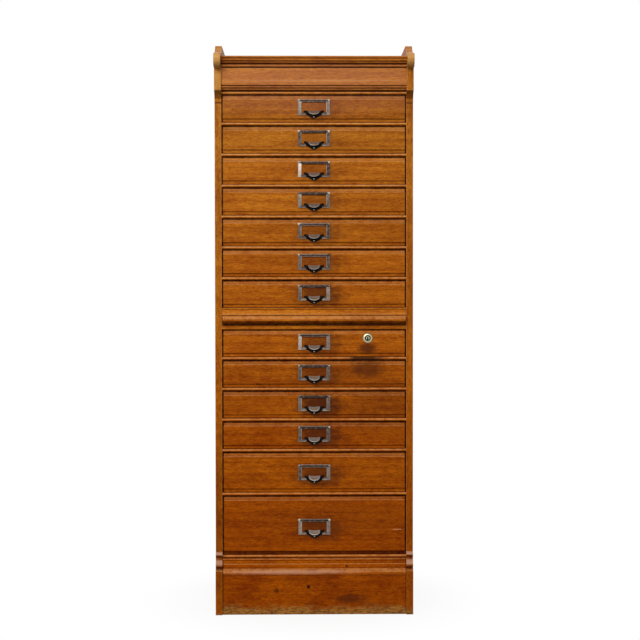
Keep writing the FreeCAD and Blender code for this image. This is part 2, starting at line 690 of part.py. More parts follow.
# Card-frame pull, drawn about the middle of its lower edge with its back on the drawer front
def pull_casting():
    """The frame with its dipped lower strip, and the tilted half-round lip between two bosses."""
    half = "pull_width / 2"
    dip = "pull_dip_width / 2"
    flat = "pull_dip_flat / 2"
    dip_low = "pull_dip_round - pull_dip_depth"
    inner_x = f"({half} - pull_side_strip)"
    inner_low = "pull_cross_strip"
    inner_high = "(pull_height - pull_cross_strip)"
    body = doc.addObject("PartDesign::Body", "pull_plate_body")
    outer = face_sketch(body, "pull_outer", [
        (f"0 - {half}", "0"),
        (f"0 - {half}", "pull_height"),
        (half, "pull_height"),
        (half, "0"),
        (dip, "0"),
        (flat, dip_low),
        (f"0 - {flat}", dip_low, arc_radius("pull_dip_flat", "0", "pull_dip_round"), "left"),
        (f"0 - {dip}", "0")])
    pad(body, outer, "pull_plate")
    for hand, ear_x in (("left", "0 - pull_ear_spread / 2"), ("right", "pull_ear_spread / 2")):
        ear = face_sketch(body, f"pull_ear_{hand}")
        draw_circle(ear, ear_x, "pull_height - pull_ear_drop", "pull_ear_radius")
        pad(body, ear, "pull_plate")
    bead = face_sketch(
        body, "pull_bead",
        rectangle(f"0 - {inner_x} - pull_bead_width", f"{inner_x} + pull_bead_width",
                  f"{inner_low} - pull_bead_width", f"{inner_high} + pull_bead_width"),
        lift="pull_plate / 2")
    pad(body, bead, "pull_plate / 2 + pull_bead_rise")
    window = face_sketch(body, "pull_window", rectangle(f"0 - {inner_x}", inner_x, inner_low, inner_high))
    pocket(body, window, "2 * pull_plate + pull_bead_rise", towards_viewer=True)

    disc = doc.addObject("Part::Cylinder", "lip_disc")
    bind(disc, "Radius", "lip_radius")
    bind(disc, "Height", "lip_thickness")
    hollow = doc.addObject("Part::Sphere", "lip_hollow")
    bind(hollow, "Radius", "lip_dish_radius")
    place(hollow, z="lip_thickness + lip_dish_radius - lip_dish_depth")
    lip = cut("lip", disc, hollow)
    turn_about_x(lip, "lip_slope")
    place(lip, y="0 - pull_plate", z="lip_root_height - lip_thickness")
    solids = [lip]
    for hand, boss_x in (("left", "0 - shoulder_boss_spread / 2"), ("right", "shoulder_boss_spread / 2")):
        boss = doc.addObject("Part::Sphere", f"shoulder_boss_{hand}")
        bind(boss, "Radius", "shoulder_boss_radius")
        solids.append(place(boss, boss_x, "shoulder_boss_sink", "shoulder_boss_height"))
    front_parts = fused("lip_and_bosses", solids)
    behind = board("behind_plate", "2 * pull_width", "2 * pull_width", "2 * pull_width",
                   y="0 - lip_root_depth", z="0 - pull_width")
    return fused("pull_casting", [body, cut("lip_front", front_parts, behind)])


pin_profile = turned("pin", [
    ("0", "0 - pull_plate - pin_head_rise",
     "(pin_head_radius ^ 2 + pin_head_rise ^ 2) / (2 * pin_head_rise)", "left"),
    ("0", "pin_length - pull_plate"),
    ("pin_shank_radius", "pin_length - pull_plate - pin_shank_radius"),
    ("pin_shank_radius", "0 - pull_plate"),
    ("pin_head_radius", "0 - pull_plate")])
PIN_PLACES = [("0 - pull_ear_spread / 2", "pull_height - pull_ear_drop"),
              ("pull_ear_spread / 2", "pull_height - pull_ear_drop"),
              ("0", "pin_dip_height")]
pins = group("pull_pins", [group(f"pin_{count}", [pin_profile], x=x, z=z)
                           for count, (x, z) in enumerate(PIN_PLACES, start=1)])
pull_frame = cut("pull_frame", pull_casting(), pins)


# Cylinder lock, drawn in the place of the locked drawer with heights from that drawer's floor
LOCK_X = f"({FRONT_WIDTH} / 2 - lock_end_distance)"
LOCK_Z = "(small_opening - lock_drop)"
FRONT_TOP = "(small_opening - drawer_gap_above)"
FRONT_BACK = "(field_setback + front_thickness)"
CASE_BACK = f"({FRONT_BACK} - lock_plate_thickness)"
CASE_FRONT = f"({CASE_BACK} - lock_case_depth)"
CASE_LOW = f"({LOCK_Z} - lock_case_below)"
BOLT_FRONT = f"({CASE_FRONT} + lock_case_wall + 2 * lock_bolt_standoff)"
lock_cylinder = turned("lock_cylinder_body", [
    ("lock_plug_radius + lock_plug_clearance", "field_setback - lock_flange_rise"),
    ("lock_plug_radius + lock_plug_clearance", CASE_FRONT),
    ("lock_barrel_radius", CASE_FRONT),
    ("lock_barrel_radius", "field_setback"),
    ("lock_flange_radius", "field_setback"),
    ("lock_flange_radius", "field_setback - lock_flange_edge"),
    ("lock_plug_radius + lock_flange_flat", "field_setback - lock_flange_rise",
     "lock_flange_radius", "left")])
place(lock_cylinder, x=LOCK_X, z=LOCK_Z)

plug_turning = turned("lock_plug_body", [
    ("0", "field_setback - lock_flange_rise - lock_plug_rise"),
    ("0", f"{BOLT_FRONT} - lock_bolt_standoff"),
    ("lock_plug_radius", f"{BOLT_FRONT} - lock_bolt_standoff"),
    ("lock_plug_radius", "field_setback - lock_flange_rise"),
    ("lock_plug_radius - lock_plug_rise", "field_setback - lock_flange_rise - lock_plug_rise")])
key_slot = board("lock_key_slot", "lock_key_width", "lock_key_depth + lock_plug_rise", "lock_key_height",
                 y="field_setback - lock_flange_rise - lock_plug_rise", z="0 - lock_key_height / 2")
cam_pin = rod("lock_cam_pin", "lock_cam_pin_radius", "lock_bolt_thickness + 2 * lock_bolt_standoff",
              "lock_cam_radius * cos(lock_cam_rest)",
              f"{BOLT_FRONT} + lock_bolt_thickness",
              "0 - lock_cam_radius * sin(lock_cam_rest)")
lock_plug = fused("lock_plug_with_cam", [cut("lock_plug", plug_turning, key_slot), cam_pin])
place(lock_plug, x=LOCK_X, z=LOCK_Z)

case_block = fused("lock_case_block", [
    board("lock_case_box", "lock_case_width", "lock_case_depth + lock_plate_thickness / 2",
          f"{FRONT_TOP} - {CASE_LOW}", x=LOCK_X, y=CASE_FRONT, z=CASE_LOW),
    board("lock_case_plate", "lock_plate_width", "lock_plate_thickness",
          f"{FRONT_TOP} - {CASE_LOW}", x=LOCK_X, y=CASE_BACK, z=CASE_LOW)])
case_cavity = board("lock_case_cavity", "lock_case_width - 2 * lock_case_wall",
                    "lock_case_depth - lock_case_wall", f"{FRONT_TOP} - {CASE_LOW} - 2 * lock_case_wall",
                    x=LOCK_X, y=f"{CASE_FRONT} + lock_case_wall", z=f"{CASE_LOW} + lock_case_wall")
plug_hole = rod("lock_plug_hole", "lock_plug_radius + lock_plug_hole_clearance", "4 * lock_case_wall",
                LOCK_X, f"{CASE_FRONT} + 3 * lock_case_wall", LOCK_Z)
BOLT_LOW = f"({LOCK_Z} - lock_bolt_tail)"
BOLT_HIGH = f"({FRONT_TOP} - lock_bolt_sink)"
bolt_exit = board("lock_bolt_exit", "lock_bolt_width + 2 * lock_bolt_clearance",
                  "lock_bolt_thickness + 2 * lock_bolt_clearance", "4 * lock_case_wall",
                  x=LOCK_X, y=f"{BOLT_FRONT} - lock_bolt_clearance", z=f"{FRONT_TOP} - 2 * lock_case_wall")
SCREW_X = "(lock_plate_width / 2 - lock_screw_inset)"
screw_turning = turned("lock_screw", [
    ("0", "0 - lock_screw_length"),
    ("0", "0"),
    ("lock_screw_head_radius", "0"),
    ("lock_screw_shank_radius", "lock_screw_shank_radius - lock_screw_head_radius"),
    ("lock_screw_shank_radius", "lock_screw_shank_radius - lock_screw_length")])
lock_screws = group("lock_screw_set", [
    group(f"lock_screw_{count}", [screw_turning], x=f"{LOCK_X} {side} {SCREW_X}", y=FRONT_BACK, z=level)
    for count, (side, level) in enumerate(
        ((side, level) for side in "+-" for level in (f"{CASE_LOW} + lock_screw_inset",
                                                      f"{FRONT_TOP} - lock_screw_drop")), start=1)])
lock_case = cut("lock_case", case_block, case_cavity, plug_hole, bolt_exit, lock_screws)

bolt_bar = board("lock_bolt_bar", "lock_bolt_width", "lock_bolt_thickness", f"{BOLT_HIGH} - {BOLT_LOW}",
                 x=LOCK_X, y=BOLT_FRONT, z=BOLT_LOW)
CAM_LOW = "lock_cam_radius * sin(lock_cam_rest)"
CAM_NEAR = "(lock_cam_radius * cos(lock_cam_rest) - lock_cam_pin_radius - lock_cam_clearance)"
CAM_FAR = "(lock_cam_radius + lock_cam_pin_radius + lock_cam_clearance)"
cam_slot = board("lock_cam_slot", f"{CAM_FAR} - {CAM_NEAR}", "4 * lock_bolt_thickness",
                 "2 * (lock_cam_pin_radius + lock_cam_clearance)",
                 x=f"{LOCK_X} + ({CAM_FAR} + {CAM_NEAR}) / 2", y=f"{BOLT_FRONT} - lock_bolt_thickness",
                 z=f"{LOCK_Z} - {CAM_LOW} - lock_cam_pin_radius - lock_cam_clearance")
lock_bolt = cut("lock_bolt", bolt_bar, cam_slot)

# The bolt rises into a mortise in the rail above the locked drawer
LOCKED_FLOOR = DRAWER_FLOORS[LOCKED_DRAWER]
mortise = board("lock_mortise", "lock_bolt_width + 2 * lock_mortise_clearance",
                "lock_bolt_thickness + 2 * lock_mortise_clearance", "2 * lock_mortise_depth",
                x=LOCK_X, y=f"{BOLT_FRONT} - lock_mortise_clearance",
                z=f"{SLIDE_RAIL_LEVEL} - lock_mortise_depth")
slide_rail = cut("slide_rail", slide_rail_blank, mortise)


# Drawers
STRIP_FACE = "(field_setback + step_depth)"
OVOLO = "(step_depth - step_fillet)"
DRAWER_END = f"({BACK_INSIDE} - drawer_end_gap)"


def drawer_front_section(opening):
    """A raised field between two recessed strips, each joined to it by a quarter round."""
    high = f"({opening} - drawer_gap_above)"
    low_strip = "(drawer_gap_below + strip_height)"
    high_strip = f"({high} - strip_height)"
    return [
        (FRONT_BACK, "drawer_gap_below"),
        (STRIP_FACE, "drawer_gap_below"),
        (STRIP_FACE, low_strip),
        (f"{STRIP_FACE} - step_fillet", low_strip),
        ("field_setback", f"{low_strip} + {OVOLO}", OVOLO, "left"),
        ("field_setback", f"{high_strip} - {OVOLO}"),
        (f"{STRIP_FACE} - step_fillet", high_strip, OVOLO, "left"),
        (STRIP_FACE, high_strip),
        (STRIP_FACE, high),
        (FRONT_BACK, high)]


def drawer_side_section(opening, tails):
    """A drawer side whose front end is cut into dovetails."""
    high = f"({opening} - drawer_gap_above - drawer_side_drop)"
    pitch = f"(({high} - drawer_gap_below) / {tails})"
    end = f"({STRIP_FACE} + dovetail_lap)"
    corners = [(DRAWER_END, "drawer_gap_below"), (FRONT_BACK, "drawer_gap_below")]
    for tail in range(tails):
        middle = f"(drawer_gap_below + {tail + 0.5} * {pitch})"
        wide = f"({pitch} - dovetail_pin_width) / 2"
        corners += [(FRONT_BACK, f"{middle} - {wide} + tail_flare"),
                    (end, f"{middle} - {wide}"),
                    (end, f"{middle} + {wide}"),
                    (FRONT_BACK, f"{middle} + {wide} - tail_flare")]
    return corners + [(FRONT_BACK, high), (DRAWER_END, high)]


def drawer_kind(kind, opening, pull_shift, tails, extra_cuts=()):
    """The front, box and pull of one height of drawer, with heights from the drawer's floor."""
    side_high = f"({opening} - drawer_gap_above - drawer_side_drop)"
    bottom_low = "(drawer_gap_below + drawer_bottom_lift)"
    bottom_high = f"({bottom_low} + drawer_bottom_thickness)"
    inside = f"({FRONT_WIDTH} - 2 * drawer_side_thickness)"
    panel = board(f"bottom_{kind}", f"{inside} + 2 * drawer_groove_depth",
                  f"{DRAWER_END} - {FRONT_BACK} + drawer_groove_depth", "drawer_bottom_thickness",
                  y=f"{FRONT_BACK} - drawer_groove_depth", z=bottom_low)
    back = board(f"back_{kind}", f"{inside} + 2 * drawer_back_dado", "drawer_back_thickness",
                 f"{side_high} - drawer_back_drop - {bottom_high}",
                 y=f"{DRAWER_END} - drawer_back_thickness", z=bottom_high)
    side_blank = doc.addObject("PartDesign::Body", f"side_of_{kind}")
    section = section_sketch(side_blank, f"side_section_{kind}", drawer_side_section(opening, tails))
    pad(side_blank, section, "drawer_side_thickness")
    left_blank = group(f"left_blank_{kind}", [side_blank], x=f"0 - {FRONT_WIDTH} / 2")
    right_blank = group(f"right_blank_{kind}", [side_blank], x=f"{FRONT_WIDTH} / 2 - drawer_side_thickness")
    left = cut(f"left_{kind}", left_blank, panel, back)
    right = cut(f"right_{kind}", right_blank, panel, back)
    middle = f"({opening} - drawer_gap_above + drawer_gap_below) / 2"
    pull_level = f"{middle} + {pull_shift} - pull_height / 2"
    placed_pins = group(f"pins_{kind}", [pins], y="field_setback", z=pull_level)
    blank = moulding(f"front_{kind}", FRONT_WIDTH, drawer_front_section(opening))
    front = cut(f"front_{kind}", blank, left, right, panel, placed_pins, *extra_cuts)
    pull = group(f"pull_{kind}", [pull_frame, pins], y="field_setback", z=pull_level)
    return {"front": front, "box": group(f"box_{kind}", [left, right, back, panel]), "pull": pull}


small = drawer_kind("small", "small_opening", "pull_shift_small", 2)
locking = drawer_kind("locking", "small_opening", "pull_shift_small", 2,
                      extra_cuts=(group("lock_in_front", [lock_cylinder]), case_block, lock_screws,
                                  rod("lock_bore", "lock_barrel_radius", "front_thickness",
                                      LOCK_X, FRONT_BACK, LOCK_Z)))
deep = drawer_kind("deep", "deep_opening", "pull_shift_deep", 3)
deepest = drawer_kind("deepest", "deepest_opening", "pull_shift_deepest", 4)


# Nodes: every one is set back so that the origin lies in the middle of the chest
def node(name, pieces, level="0"):
    part = group(name, pieces, y=STILE_FACE, z=level)
    part.Label = name
    return part


nodes = [
    node("side_left", [side_left]),
    node("side_right", [side_right]),
    node("top_board", [top_board]),
    node("frieze_board", [frieze]),
    node("cornice_mouldings", [bed_moulding, lower_moulding]),
    node("drawer_rails", thin_rails),
    node("waist_rail", [waist_rail]),
    node("slide_rail", [slide_rail]),
    node("runners_left", [runners_left]),
    node("runners_right", [runners_right]),
    node("back_boards", back_boards),
    node("bottom_board", [bottom_board]),
    node("plinth_board", [plinth]),
    node("base_moulding", [base_moulding]),
    node("slide_board", [slide_board]),
    node("slide_lipping", [slide_lipping]),
    node("lock_cylinder", [lock_cylinder], LOCKED_FLOOR),
    node("lock_plug", [lock_plug], LOCKED_FLOOR),
    node("lock_case", [lock_case], LOCKED_FLOOR),
    node("lock_bolt", [lock_bolt], LOCKED_FLOOR),
    node("lock_screws", [lock_screws], LOCKED_FLOOR),
]
for number, floor in sorted(DRAWER_FLOORS.items()):
    kind = small
    if number == LOCKED_DRAWER:
        kind = locking
    elif number == LAST_DRAWER - 1:
        kind = deep
    elif number == LAST_DRAWER:
        kind = deepest
    for piece in ("front", "box", "pull"):
        nodes.append(node(f"drawer_{number:02d}_{piece}", [kind[piece]], floor))

# Build, check and write
doc.recompute()
for item in doc.Objects:
    if "Invalid" in item.State or "Error" in item.State:
        raise RuntimeError(f"{item.Name} failed: {item.State}")
    if item.TypeId == "PartDesign::Pocket" and item.Shape.Volume >= item.BaseFeature.Shape.Volume - 0.01:
        raise RuntimeError(f"{item.Name} cuts nothing")
    if item.TypeId == "Part::Cut" and item.Shape.Volume >= item.Base.Shape.Volume - 0.01:
        raise RuntimeError(f"{item.Name} cuts nothing")

os.makedirs("parts", exist_ok=True)
for part in nodes:
    shape = part.Shape
    if shape.isNull() or not shape.isValid() or not shape.Solids:
        raise RuntimeError(f"{part.Label} has no valid solid")
    shape.exportStep(f"parts/{part.Label}.step")
    box = shape.BoundBox
    size = f"{box.XLength:7.1f} {box.YLength:7.1f} {box.ZLength:7.1f} mm"
    print(f"{part.Label:20s} {len(shape.Solids):3d} solids  {size}  {shape.Volume / 1000:8.2f} cm3")
print(len(nodes), "nodes")
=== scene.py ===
# %% [markdown]
# # An oak filing chest
# The chest is a tall stack of thirteen shallow drawers between two scroll-topped side boards. A writing
# slide comes out between the seventh and the eighth drawer, every drawer has a cast card-frame pull, and
# the eighth has a round lock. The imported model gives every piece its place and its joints. This lesson
# dresses it: each board gets its rounded arrises, its own grain and its wear, and the metal pieces are
# made anew.

# %% Load the chest
import json
import math
import random

import bmesh
import bpy
from mathutils import Matrix, Vector


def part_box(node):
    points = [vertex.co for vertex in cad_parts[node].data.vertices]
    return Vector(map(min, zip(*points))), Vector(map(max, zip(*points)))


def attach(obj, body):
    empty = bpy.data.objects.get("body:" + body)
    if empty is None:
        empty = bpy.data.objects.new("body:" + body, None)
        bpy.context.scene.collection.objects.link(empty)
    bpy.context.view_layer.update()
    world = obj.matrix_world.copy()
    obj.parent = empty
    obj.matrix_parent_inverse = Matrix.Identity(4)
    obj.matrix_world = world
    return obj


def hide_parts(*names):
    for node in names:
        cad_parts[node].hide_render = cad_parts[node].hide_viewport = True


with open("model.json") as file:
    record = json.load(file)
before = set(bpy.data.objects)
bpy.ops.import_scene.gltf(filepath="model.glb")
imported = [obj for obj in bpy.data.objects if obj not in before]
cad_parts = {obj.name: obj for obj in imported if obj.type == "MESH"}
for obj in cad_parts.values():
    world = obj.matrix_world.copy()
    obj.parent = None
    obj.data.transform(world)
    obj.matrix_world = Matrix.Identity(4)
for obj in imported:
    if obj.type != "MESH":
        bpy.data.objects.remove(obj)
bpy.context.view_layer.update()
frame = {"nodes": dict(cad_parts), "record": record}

# %% [markdown]
# ## Camera
# The photograph was taken from the front, about 3.5 m before the stiles and 0.83 m above the floor,
# looking down by one and a half degrees. A lens of 78.75 mm on a 36 mm sensor gives that width of view,
# and the small turn to the right puts the vanishing point of the sides where it is in the picture.

# %% Set up the camera
CAMERA_PLACE = Vector((-0.035, -3.685, 0.828))
CAMERA_DOWN = math.radians(1.460)
CAMERA_RIGHT = math.radians(0.812)
CAMERA_ROLL = math.radians(-0.07)

camera_data = bpy.data.cameras.new("camera")
camera_data.sensor_width = 36
camera_data.lens = 78.75
camera = bpy.data.objects.new("camera", camera_data)
camera.rotation_euler = (
    Matrix.Rotation(-CAMERA_RIGHT, 3, "Z")
    @ Matrix.Rotation(math.pi / 2 - CAMERA_DOWN, 3, "X")
    @ Matrix.Rotation(CAMERA_ROLL, 3, "Z")
).to_euler()
camera.location = CAMERA_PLACE
bpy.context.scene.collection.objects.link(camera)
bpy.context.scene.camera = camera
bpy.context.scene.view_settings.view_transform = "Standard"
print("camera at", tuple(camera.location))

# %% [markdown]
# ## Small tools for node trees
# A material is a tree of nodes. Small helpers keep the cells short: they add a node and fill or link its
# sockets, do arithmetic, fade, mix colours, stretch noise, and start groups and materials. Colours are
# written as they look on a screen, 0 to 255, and turned into the linear light that the shader needs.

# %% Helpers for materials
def colour(red, green, blue):
    """A screen colour, 0 to 255, as linear light."""
    def linear(value):
        value /= 255
        return value / 12.92 if value <= 0.04045 else ((value + 0.055) / 1.055) ** 2.4
    return (linear(red), linear(green), linear(blue), 1.0)


def add(tree, kind, sockets=(), **settings):
    """Adds a node, sets its settings, and links or fills the sockets given by name or number."""
    node = tree.nodes.new(kind)
    for name, setting in settings.items():
        setattr(node, name, setting)
    for name, content in dict(sockets).items():
        if isinstance(content, bpy.types.NodeSocket):
            tree.links.new(content, node.inputs[name])
        else:
            node.inputs[name].default_value = content
    return node


def maths(tree, operation, first, second=0.0, third=0.0, clamp=False):
    node = add(tree, "ShaderNodeMath", {0: first, 1: second, 2: third}, operation=operation,
               use_clamp=clamp)
    return node.outputs[0]


def between(tree, value, low, high, to_low=0.0, to_high=1.0):
    """Fades from to_low to to_high while value goes from low to high, softly at both ends."""
    node = add(tree, "ShaderNodeMapRange", {"Value": value, "From Min": low, "From Max": high,
                                            "To Min": to_low, "To Max": to_high},
               interpolation_type="SMOOTHSTEP")
    return node.outputs["Result"]


def mixed(tree, factor, first, second, mode="MIX"):
    node = add(tree, "ShaderNodeMix", {0: factor, 6: first, 7: second}, data_type="RGBA",
               blend_type=mode)
    return node.outputs[2]


def multiplied(tree, first, second):
    return mixed(tree, 1.0, first, second, "MULTIPLY")


def parts(tree, vector):
    """The X, Y and Z of a vector."""
    return add(tree, "ShaderNodeSeparateXYZ", {0: vector}).outputs


def noise(tree, place, stretch, detail=3.0, roughness=0.55, distortion=0.0):
    """Noise over a place, finer along each axis the larger that part of the stretch is."""
    spread = add(tree, "ShaderNodeVectorMath", {0: place, 1: stretch}, operation="MULTIPLY").outputs[0]
    node = add(tree, "ShaderNodeTexNoise", {"Vector": spread, "Scale": 1.0, "Detail": detail,
                                            "Roughness": roughness, "Distortion": distortion})
    return node.outputs["Fac"]


def new_group(name, inputs, outputs):
    """A node group. Inputs are (name, kind, default), outputs are (name, kind)."""
    tree = bpy.data.node_groups.new(name, "ShaderNodeTree")
    for title, kind, default in inputs:
        socket = tree.interface.new_socket(name=title, in_out="INPUT", socket_type="NodeSocket" + kind)
        socket.default_value = default
    for title, kind in outputs:
        tree.interface.new_socket(name=title, in_out="OUTPUT", socket_type="NodeSocket" + kind)
    return tree, tree.nodes.new("NodeGroupInput").outputs, tree.nodes.new("NodeGroupOutput").inputs


def place_group(tree, group, **sockets):
    """A node group in a tree, its inputs given by name with _ for a space. Returns its outputs."""
    spaced = {name.replace("_", " "): content for name, content in sockets.items()}
    return add(tree, "ShaderNodeGroup", spaced, node_tree=group).outputs


def new_material(name):
    """A material with a shader. Returns it, its tree, the shader's inputs and the place on the piece."""
    material = bpy.data.materials.new(name)
    material.use_nodes = True
    tree = material.node_tree
    tree.nodes.clear()
    shader = tree.nodes.new("ShaderNodeBsdfPrincipled")
    add(tree, "ShaderNodeOutputMaterial", {"Surface": shader.outputs["BSDF"]})
    return material, tree, shader.inputs, add(tree, "ShaderNodeTexCoord").outputs["Object"]


def fill_shader(tree, shader, base, roughness, height, strength, distance):
    """Gives a shader its colour, its roughness and a low relief."""
    bump = add(tree, "ShaderNodeBump", {"Height": height, "Strength": strength, "Distance": distance})
    for name, content in (("Base Color", base), ("Roughness", roughness), ("Normal", bump.outputs[0])):
        tree.links.new(content, shader[name])


print("oak in the light:", [round(part, 3) for part in colour(176, 108, 46)])

# %% [markdown]
# ## Studio
# The chest stands on a plain pale floor in soft light. One large lamp hangs in front, above and a little
# to the left, so that rounded upper edges catch the light and the hollows under them stay dark. Three
# weaker lamps at the sides and the back light only the faces that the front lamp misses. The floor
# turns plain white away from the chest, for the rays of the camera and of reflections only, and keeps
# the soft shadow near it. The light itself comes from the lamps and a dim world.

# %% Floor, world and lamps
FLOOR_HALF = 9.0
SHADOW_FADES = (0.22, 0.5)
WORLD_LIGHT = 0.27
KEY_POWER = 96.0
FILL_POWER = 38.0


def seen_rays(tree):
    """1 for the rays of the camera and of reflections, and 0 for the rays that carry light."""
    rays = add(tree, "ShaderNodeLightPath").outputs
    bent = maths(tree, "MAXIMUM", rays["Is Glossy Ray"], rays["Is Transmission Ray"])
    return maths(tree, "MAXIMUM", rays["Is Camera Ray"], bent)


floor_mesh = bpy.data.meshes.new("studio_floor")
floor_bm = bmesh.new()
bmesh.ops.create_grid(floor_bm, x_segments=1, y_segments=1, size=FLOOR_HALF)
floor_bm.to_mesh(floor_mesh)
floor_bm.free()
floor = bpy.data.objects.new("studio_floor", floor_mesh)
bpy.context.scene.collection.objects.link(floor)

floor_material = bpy.data.materials.new("studio_floor")
floor_material.use_nodes = True
tree = floor_material.node_tree
tree.nodes.clear()
seen = seen_rays(tree)
away = add(tree, "ShaderNodeVectorMath", {0: add(tree, "ShaderNodeTexCoord").outputs["Object"]},
           operation="LENGTH").outputs["Value"]
white = maths(tree, "MULTIPLY", seen, between(tree, away, *SHADOW_FADES, 0.92, 1.0))
paper = add(tree, "ShaderNodeBsdfDiffuse", {"Color": (0.5, 0.5, 0.5, 1)}).outputs[0]
glow = add(tree, "ShaderNodeEmission", {"Color": (1, 1, 1, 1), "Strength": 1.0}).outputs[0]
joined = add(tree, "ShaderNodeMixShader", {0: white, 1: paper, 2: glow}).outputs[0]
add(tree, "ShaderNodeOutputMaterial", {"Surface": joined})
floor_mesh.materials.append(floor_material)

world = bpy.data.worlds.new("studio")
world.use_nodes = True
bpy.context.scene.world = world
tree = world.node_tree
tree.nodes.clear()
seen = seen_rays(tree)
strength = maths(tree, "MULTIPLY_ADD", seen, 1.0 - WORLD_LIGHT, WORLD_LIGHT)
sky = add(tree, "ShaderNodeBackground", {"Color": (1, 1, 1, 1), "Strength": strength}).outputs[0]
add(tree, "ShaderNodeOutputWorld", {"Surface": sky})

LAMP_AIM = Vector((0.0, 0.0, 0.85))


def lamp(name, place, power, width, height):
    """A soft lamp aimed at the middle of the chest."""
    data = bpy.data.lights.new(name, "AREA")
    data.energy = power
    data.shape = "RECTANGLE"
    data.size = width
    data.size_y = height
    piece = bpy.data.objects.new(name, data)
    piece.location = place
    piece.rotation_euler = (LAMP_AIM - piece.location).to_track_quat("-Z", "Y").to_euler()
    bpy.context.scene.collection.objects.link(piece)


lamp("key_lamp", (-0.9, -2.7, 2.5), KEY_POWER, 2.6, 1.6)
lamp("fill_left", (-3.2, 0.9, 1.5), FILL_POWER, 2.0, 2.0)
lamp("fill_right", (3.2, 0.9, 1.5), FILL_POWER, 2.0, 2.0)
lamp("fill_back", (0.4, 3.2, 3.6), FILL_POWER, 2.0, 2.0)
print("world light", WORLD_LIGHT, "key lamp", KEY_POWER, "W, fill lamps", FILL_POWER, "W")

# %% [markdown]
# ## Oak
# The real wood is oak under old shellac: golden where light has faded it near the top, redder and darker
# lower down. Three things make oak look like oak. Growth rings run along the board in long wavering
# bands. Streaks a few millimetres wide lie between them. Pores are short dark scratches, under a
# millimetre wide. All three are noise stretched along the grain, so they need coordinates that know the
# grain's direction. Every board therefore carries an attribute, "board", that holds the distance along
# the grain, across it and through the board. The group puts out the masks, and each material mixes its
# own colours with them.

# %% Node group: figure of the oak
WAVER, WAVER_GRAIN = 0.010, (2.2, 9.0, 9.0)
RING_GRAIN, STREAK_GRAIN = (3.5, 95.0, 60.0), (60.0, 330.0, 300.0)
PORE_GRAIN, FLECK_GRAIN = (120.0, 620.0, 600.0), (60.0, 120.0, 120.0)
oak_figure, given, result = new_group(
    "oak_figure", [("Board", "Vector", (0, 0, 0))],
    [("Rings", "Float"), ("Streaks", "Float"), ("Pores", "Float"), ("Flecks", "Float"), ("Height", "Float")])
place = given["Board"]
waver = noise(oak_figure, place, WAVER_GRAIN, detail=2.0)
shifted = maths(oak_figure, "MULTIPLY", maths(oak_figure, "SUBTRACT", waver, 0.5), WAVER)
sideways = add(oak_figure, "ShaderNodeCombineXYZ", {"Y": shifted, "Z": shifted}).outputs[0]
bent = add(oak_figure, "ShaderNodeVectorMath", {0: place, 1: sideways}, operation="ADD").outputs[0]
rings = noise(oak_figure, bent, RING_GRAIN, roughness=0.6)
streaks = noise(oak_figure, bent, STREAK_GRAIN, detail=4.0, roughness=0.78)
pores = between(oak_figure, noise(oak_figure, bent, PORE_GRAIN, detail=2.0), 0.53, 0.66)
flecks = noise(oak_figure, place, FLECK_GRAIN, distortion=0.8)
height = maths(oak_figure, "MULTIPLY_ADD", pores, -1.0, maths(oak_figure, "MULTIPLY", streaks, 0.35))
for name, content in (("Rings", between(oak_figure, rings, 0.28, 0.72)),
                      ("Streaks", between(oak_figure, streaks, 0.3, 0.7)), ("Pores", pores),
                      ("Flecks", between(oak_figure, flecks, 0.6, 0.72)), ("Height", height)):
    oak_figure.links.new(content, result[name])
print("oak figure:", len(oak_figure.nodes), "nodes")

# %% [markdown]
# ## Age
# Age shows in the same way on every board, so it is a group of its own. The finish is lighter and more
# golden towards the top of the chest and redder and darker towards the floor: partly the fading of the
# wood, partly painted light that falls from above. Clouds of darker finish lie unevenly over it. Where an
# arris is rubbed bare, or a slope that looks up gets a painted highlight, the face attribute for wear and
# highlight lets paler wood show, broken up by noise so that it isn't a drawn line. Where its dark input is
# high, caked wax in the corners and painted shade in the gaps and under the noses turn the wood nearly black.

# %% Node group: age of the finish
YELLOWER, REDDER = (0.90, 1.10, 1.60, 1), (1.10, 0.90, 0.40, 1)
CLOUD_SHADE = (0.52, 0.32, 0.16, 1)
CAKED_WAX = (0.020, 0.0012, 0.0001, 1)
TOP_OF_CHEST = 1.45
age, given, result = new_group(
    "age_of_the_finish",
    [("Colour", "Color", (0.5, 0.5, 0.5, 1)), ("Place", "Vector", (0, 0, 0)), ("Tone", "Float", 0.0),
     ("Wear", "Float", 0.0), ("Dirt", "Float", 0.0), ("High Tint", "Color", (1, 1, 1, 1)),
     ("Low Tint", "Color", (1, 1, 1, 1)), ("Bare Wood", "Color", (1, 1, 1, 1)), ("Clouds", "Float", 0.35),
     ("Warmth", "Float", 0.0)],
    [("Colour", "Color"), ("Roughness", "Float")])
place = given["Place"]
# Lighter and more golden higher up: partly faded wood, partly painted light from above.
upward = between(age, parts(age, place)["Z"], 0.0, TOP_OF_CHEST)
by_height = mixed(age, upward, given["Low Tint"], given["High Tint"])
hue = mixed(age, maths(age, "MULTIPLY_ADD", given["Warmth"], 0.5, 0.5), YELLOWER, REDDER)
tint = multiplied(age, by_height, hue)
tinted = multiplied(age, given["Colour"], tint)
cloud = noise(age, place, (9.0, 9.0, 16.0), detail=4.0, roughness=0.6, distortion=0.6)
mottle = noise(age, place, (48.0, 48.0, 75.0), detail=4.0, roughness=0.75, distortion=0.2)
blotches = maths(age, "ADD", between(age, cloud, 0.38, 0.70, 0.0, 0.9),
                 between(age, mottle, 0.42, 0.70, 0.0, 0.6))
darkness = maths(age, "MULTIPLY", given["Clouds"], blotches)
clouded = mixed(age, darkness, tinted, multiplied(age, tinted, CLOUD_SHADE))
lighter = maths(age, "MULTIPLY_ADD", given["Tone"], 0.22, 1.0)
grey = add(age, "ShaderNodeCombineXYZ", {0: lighter, 1: lighter, 2: lighter}).outputs[0]
toned = multiplied(age, clouded, grey)
rub = noise(age, place, (70.0, 70.0, 70.0), detail=4.0, roughness=0.7)
bare = maths(age, "MULTIPLY", given["Wear"], between(age, rub, 0.34, 0.6, 0.3, 1.0))
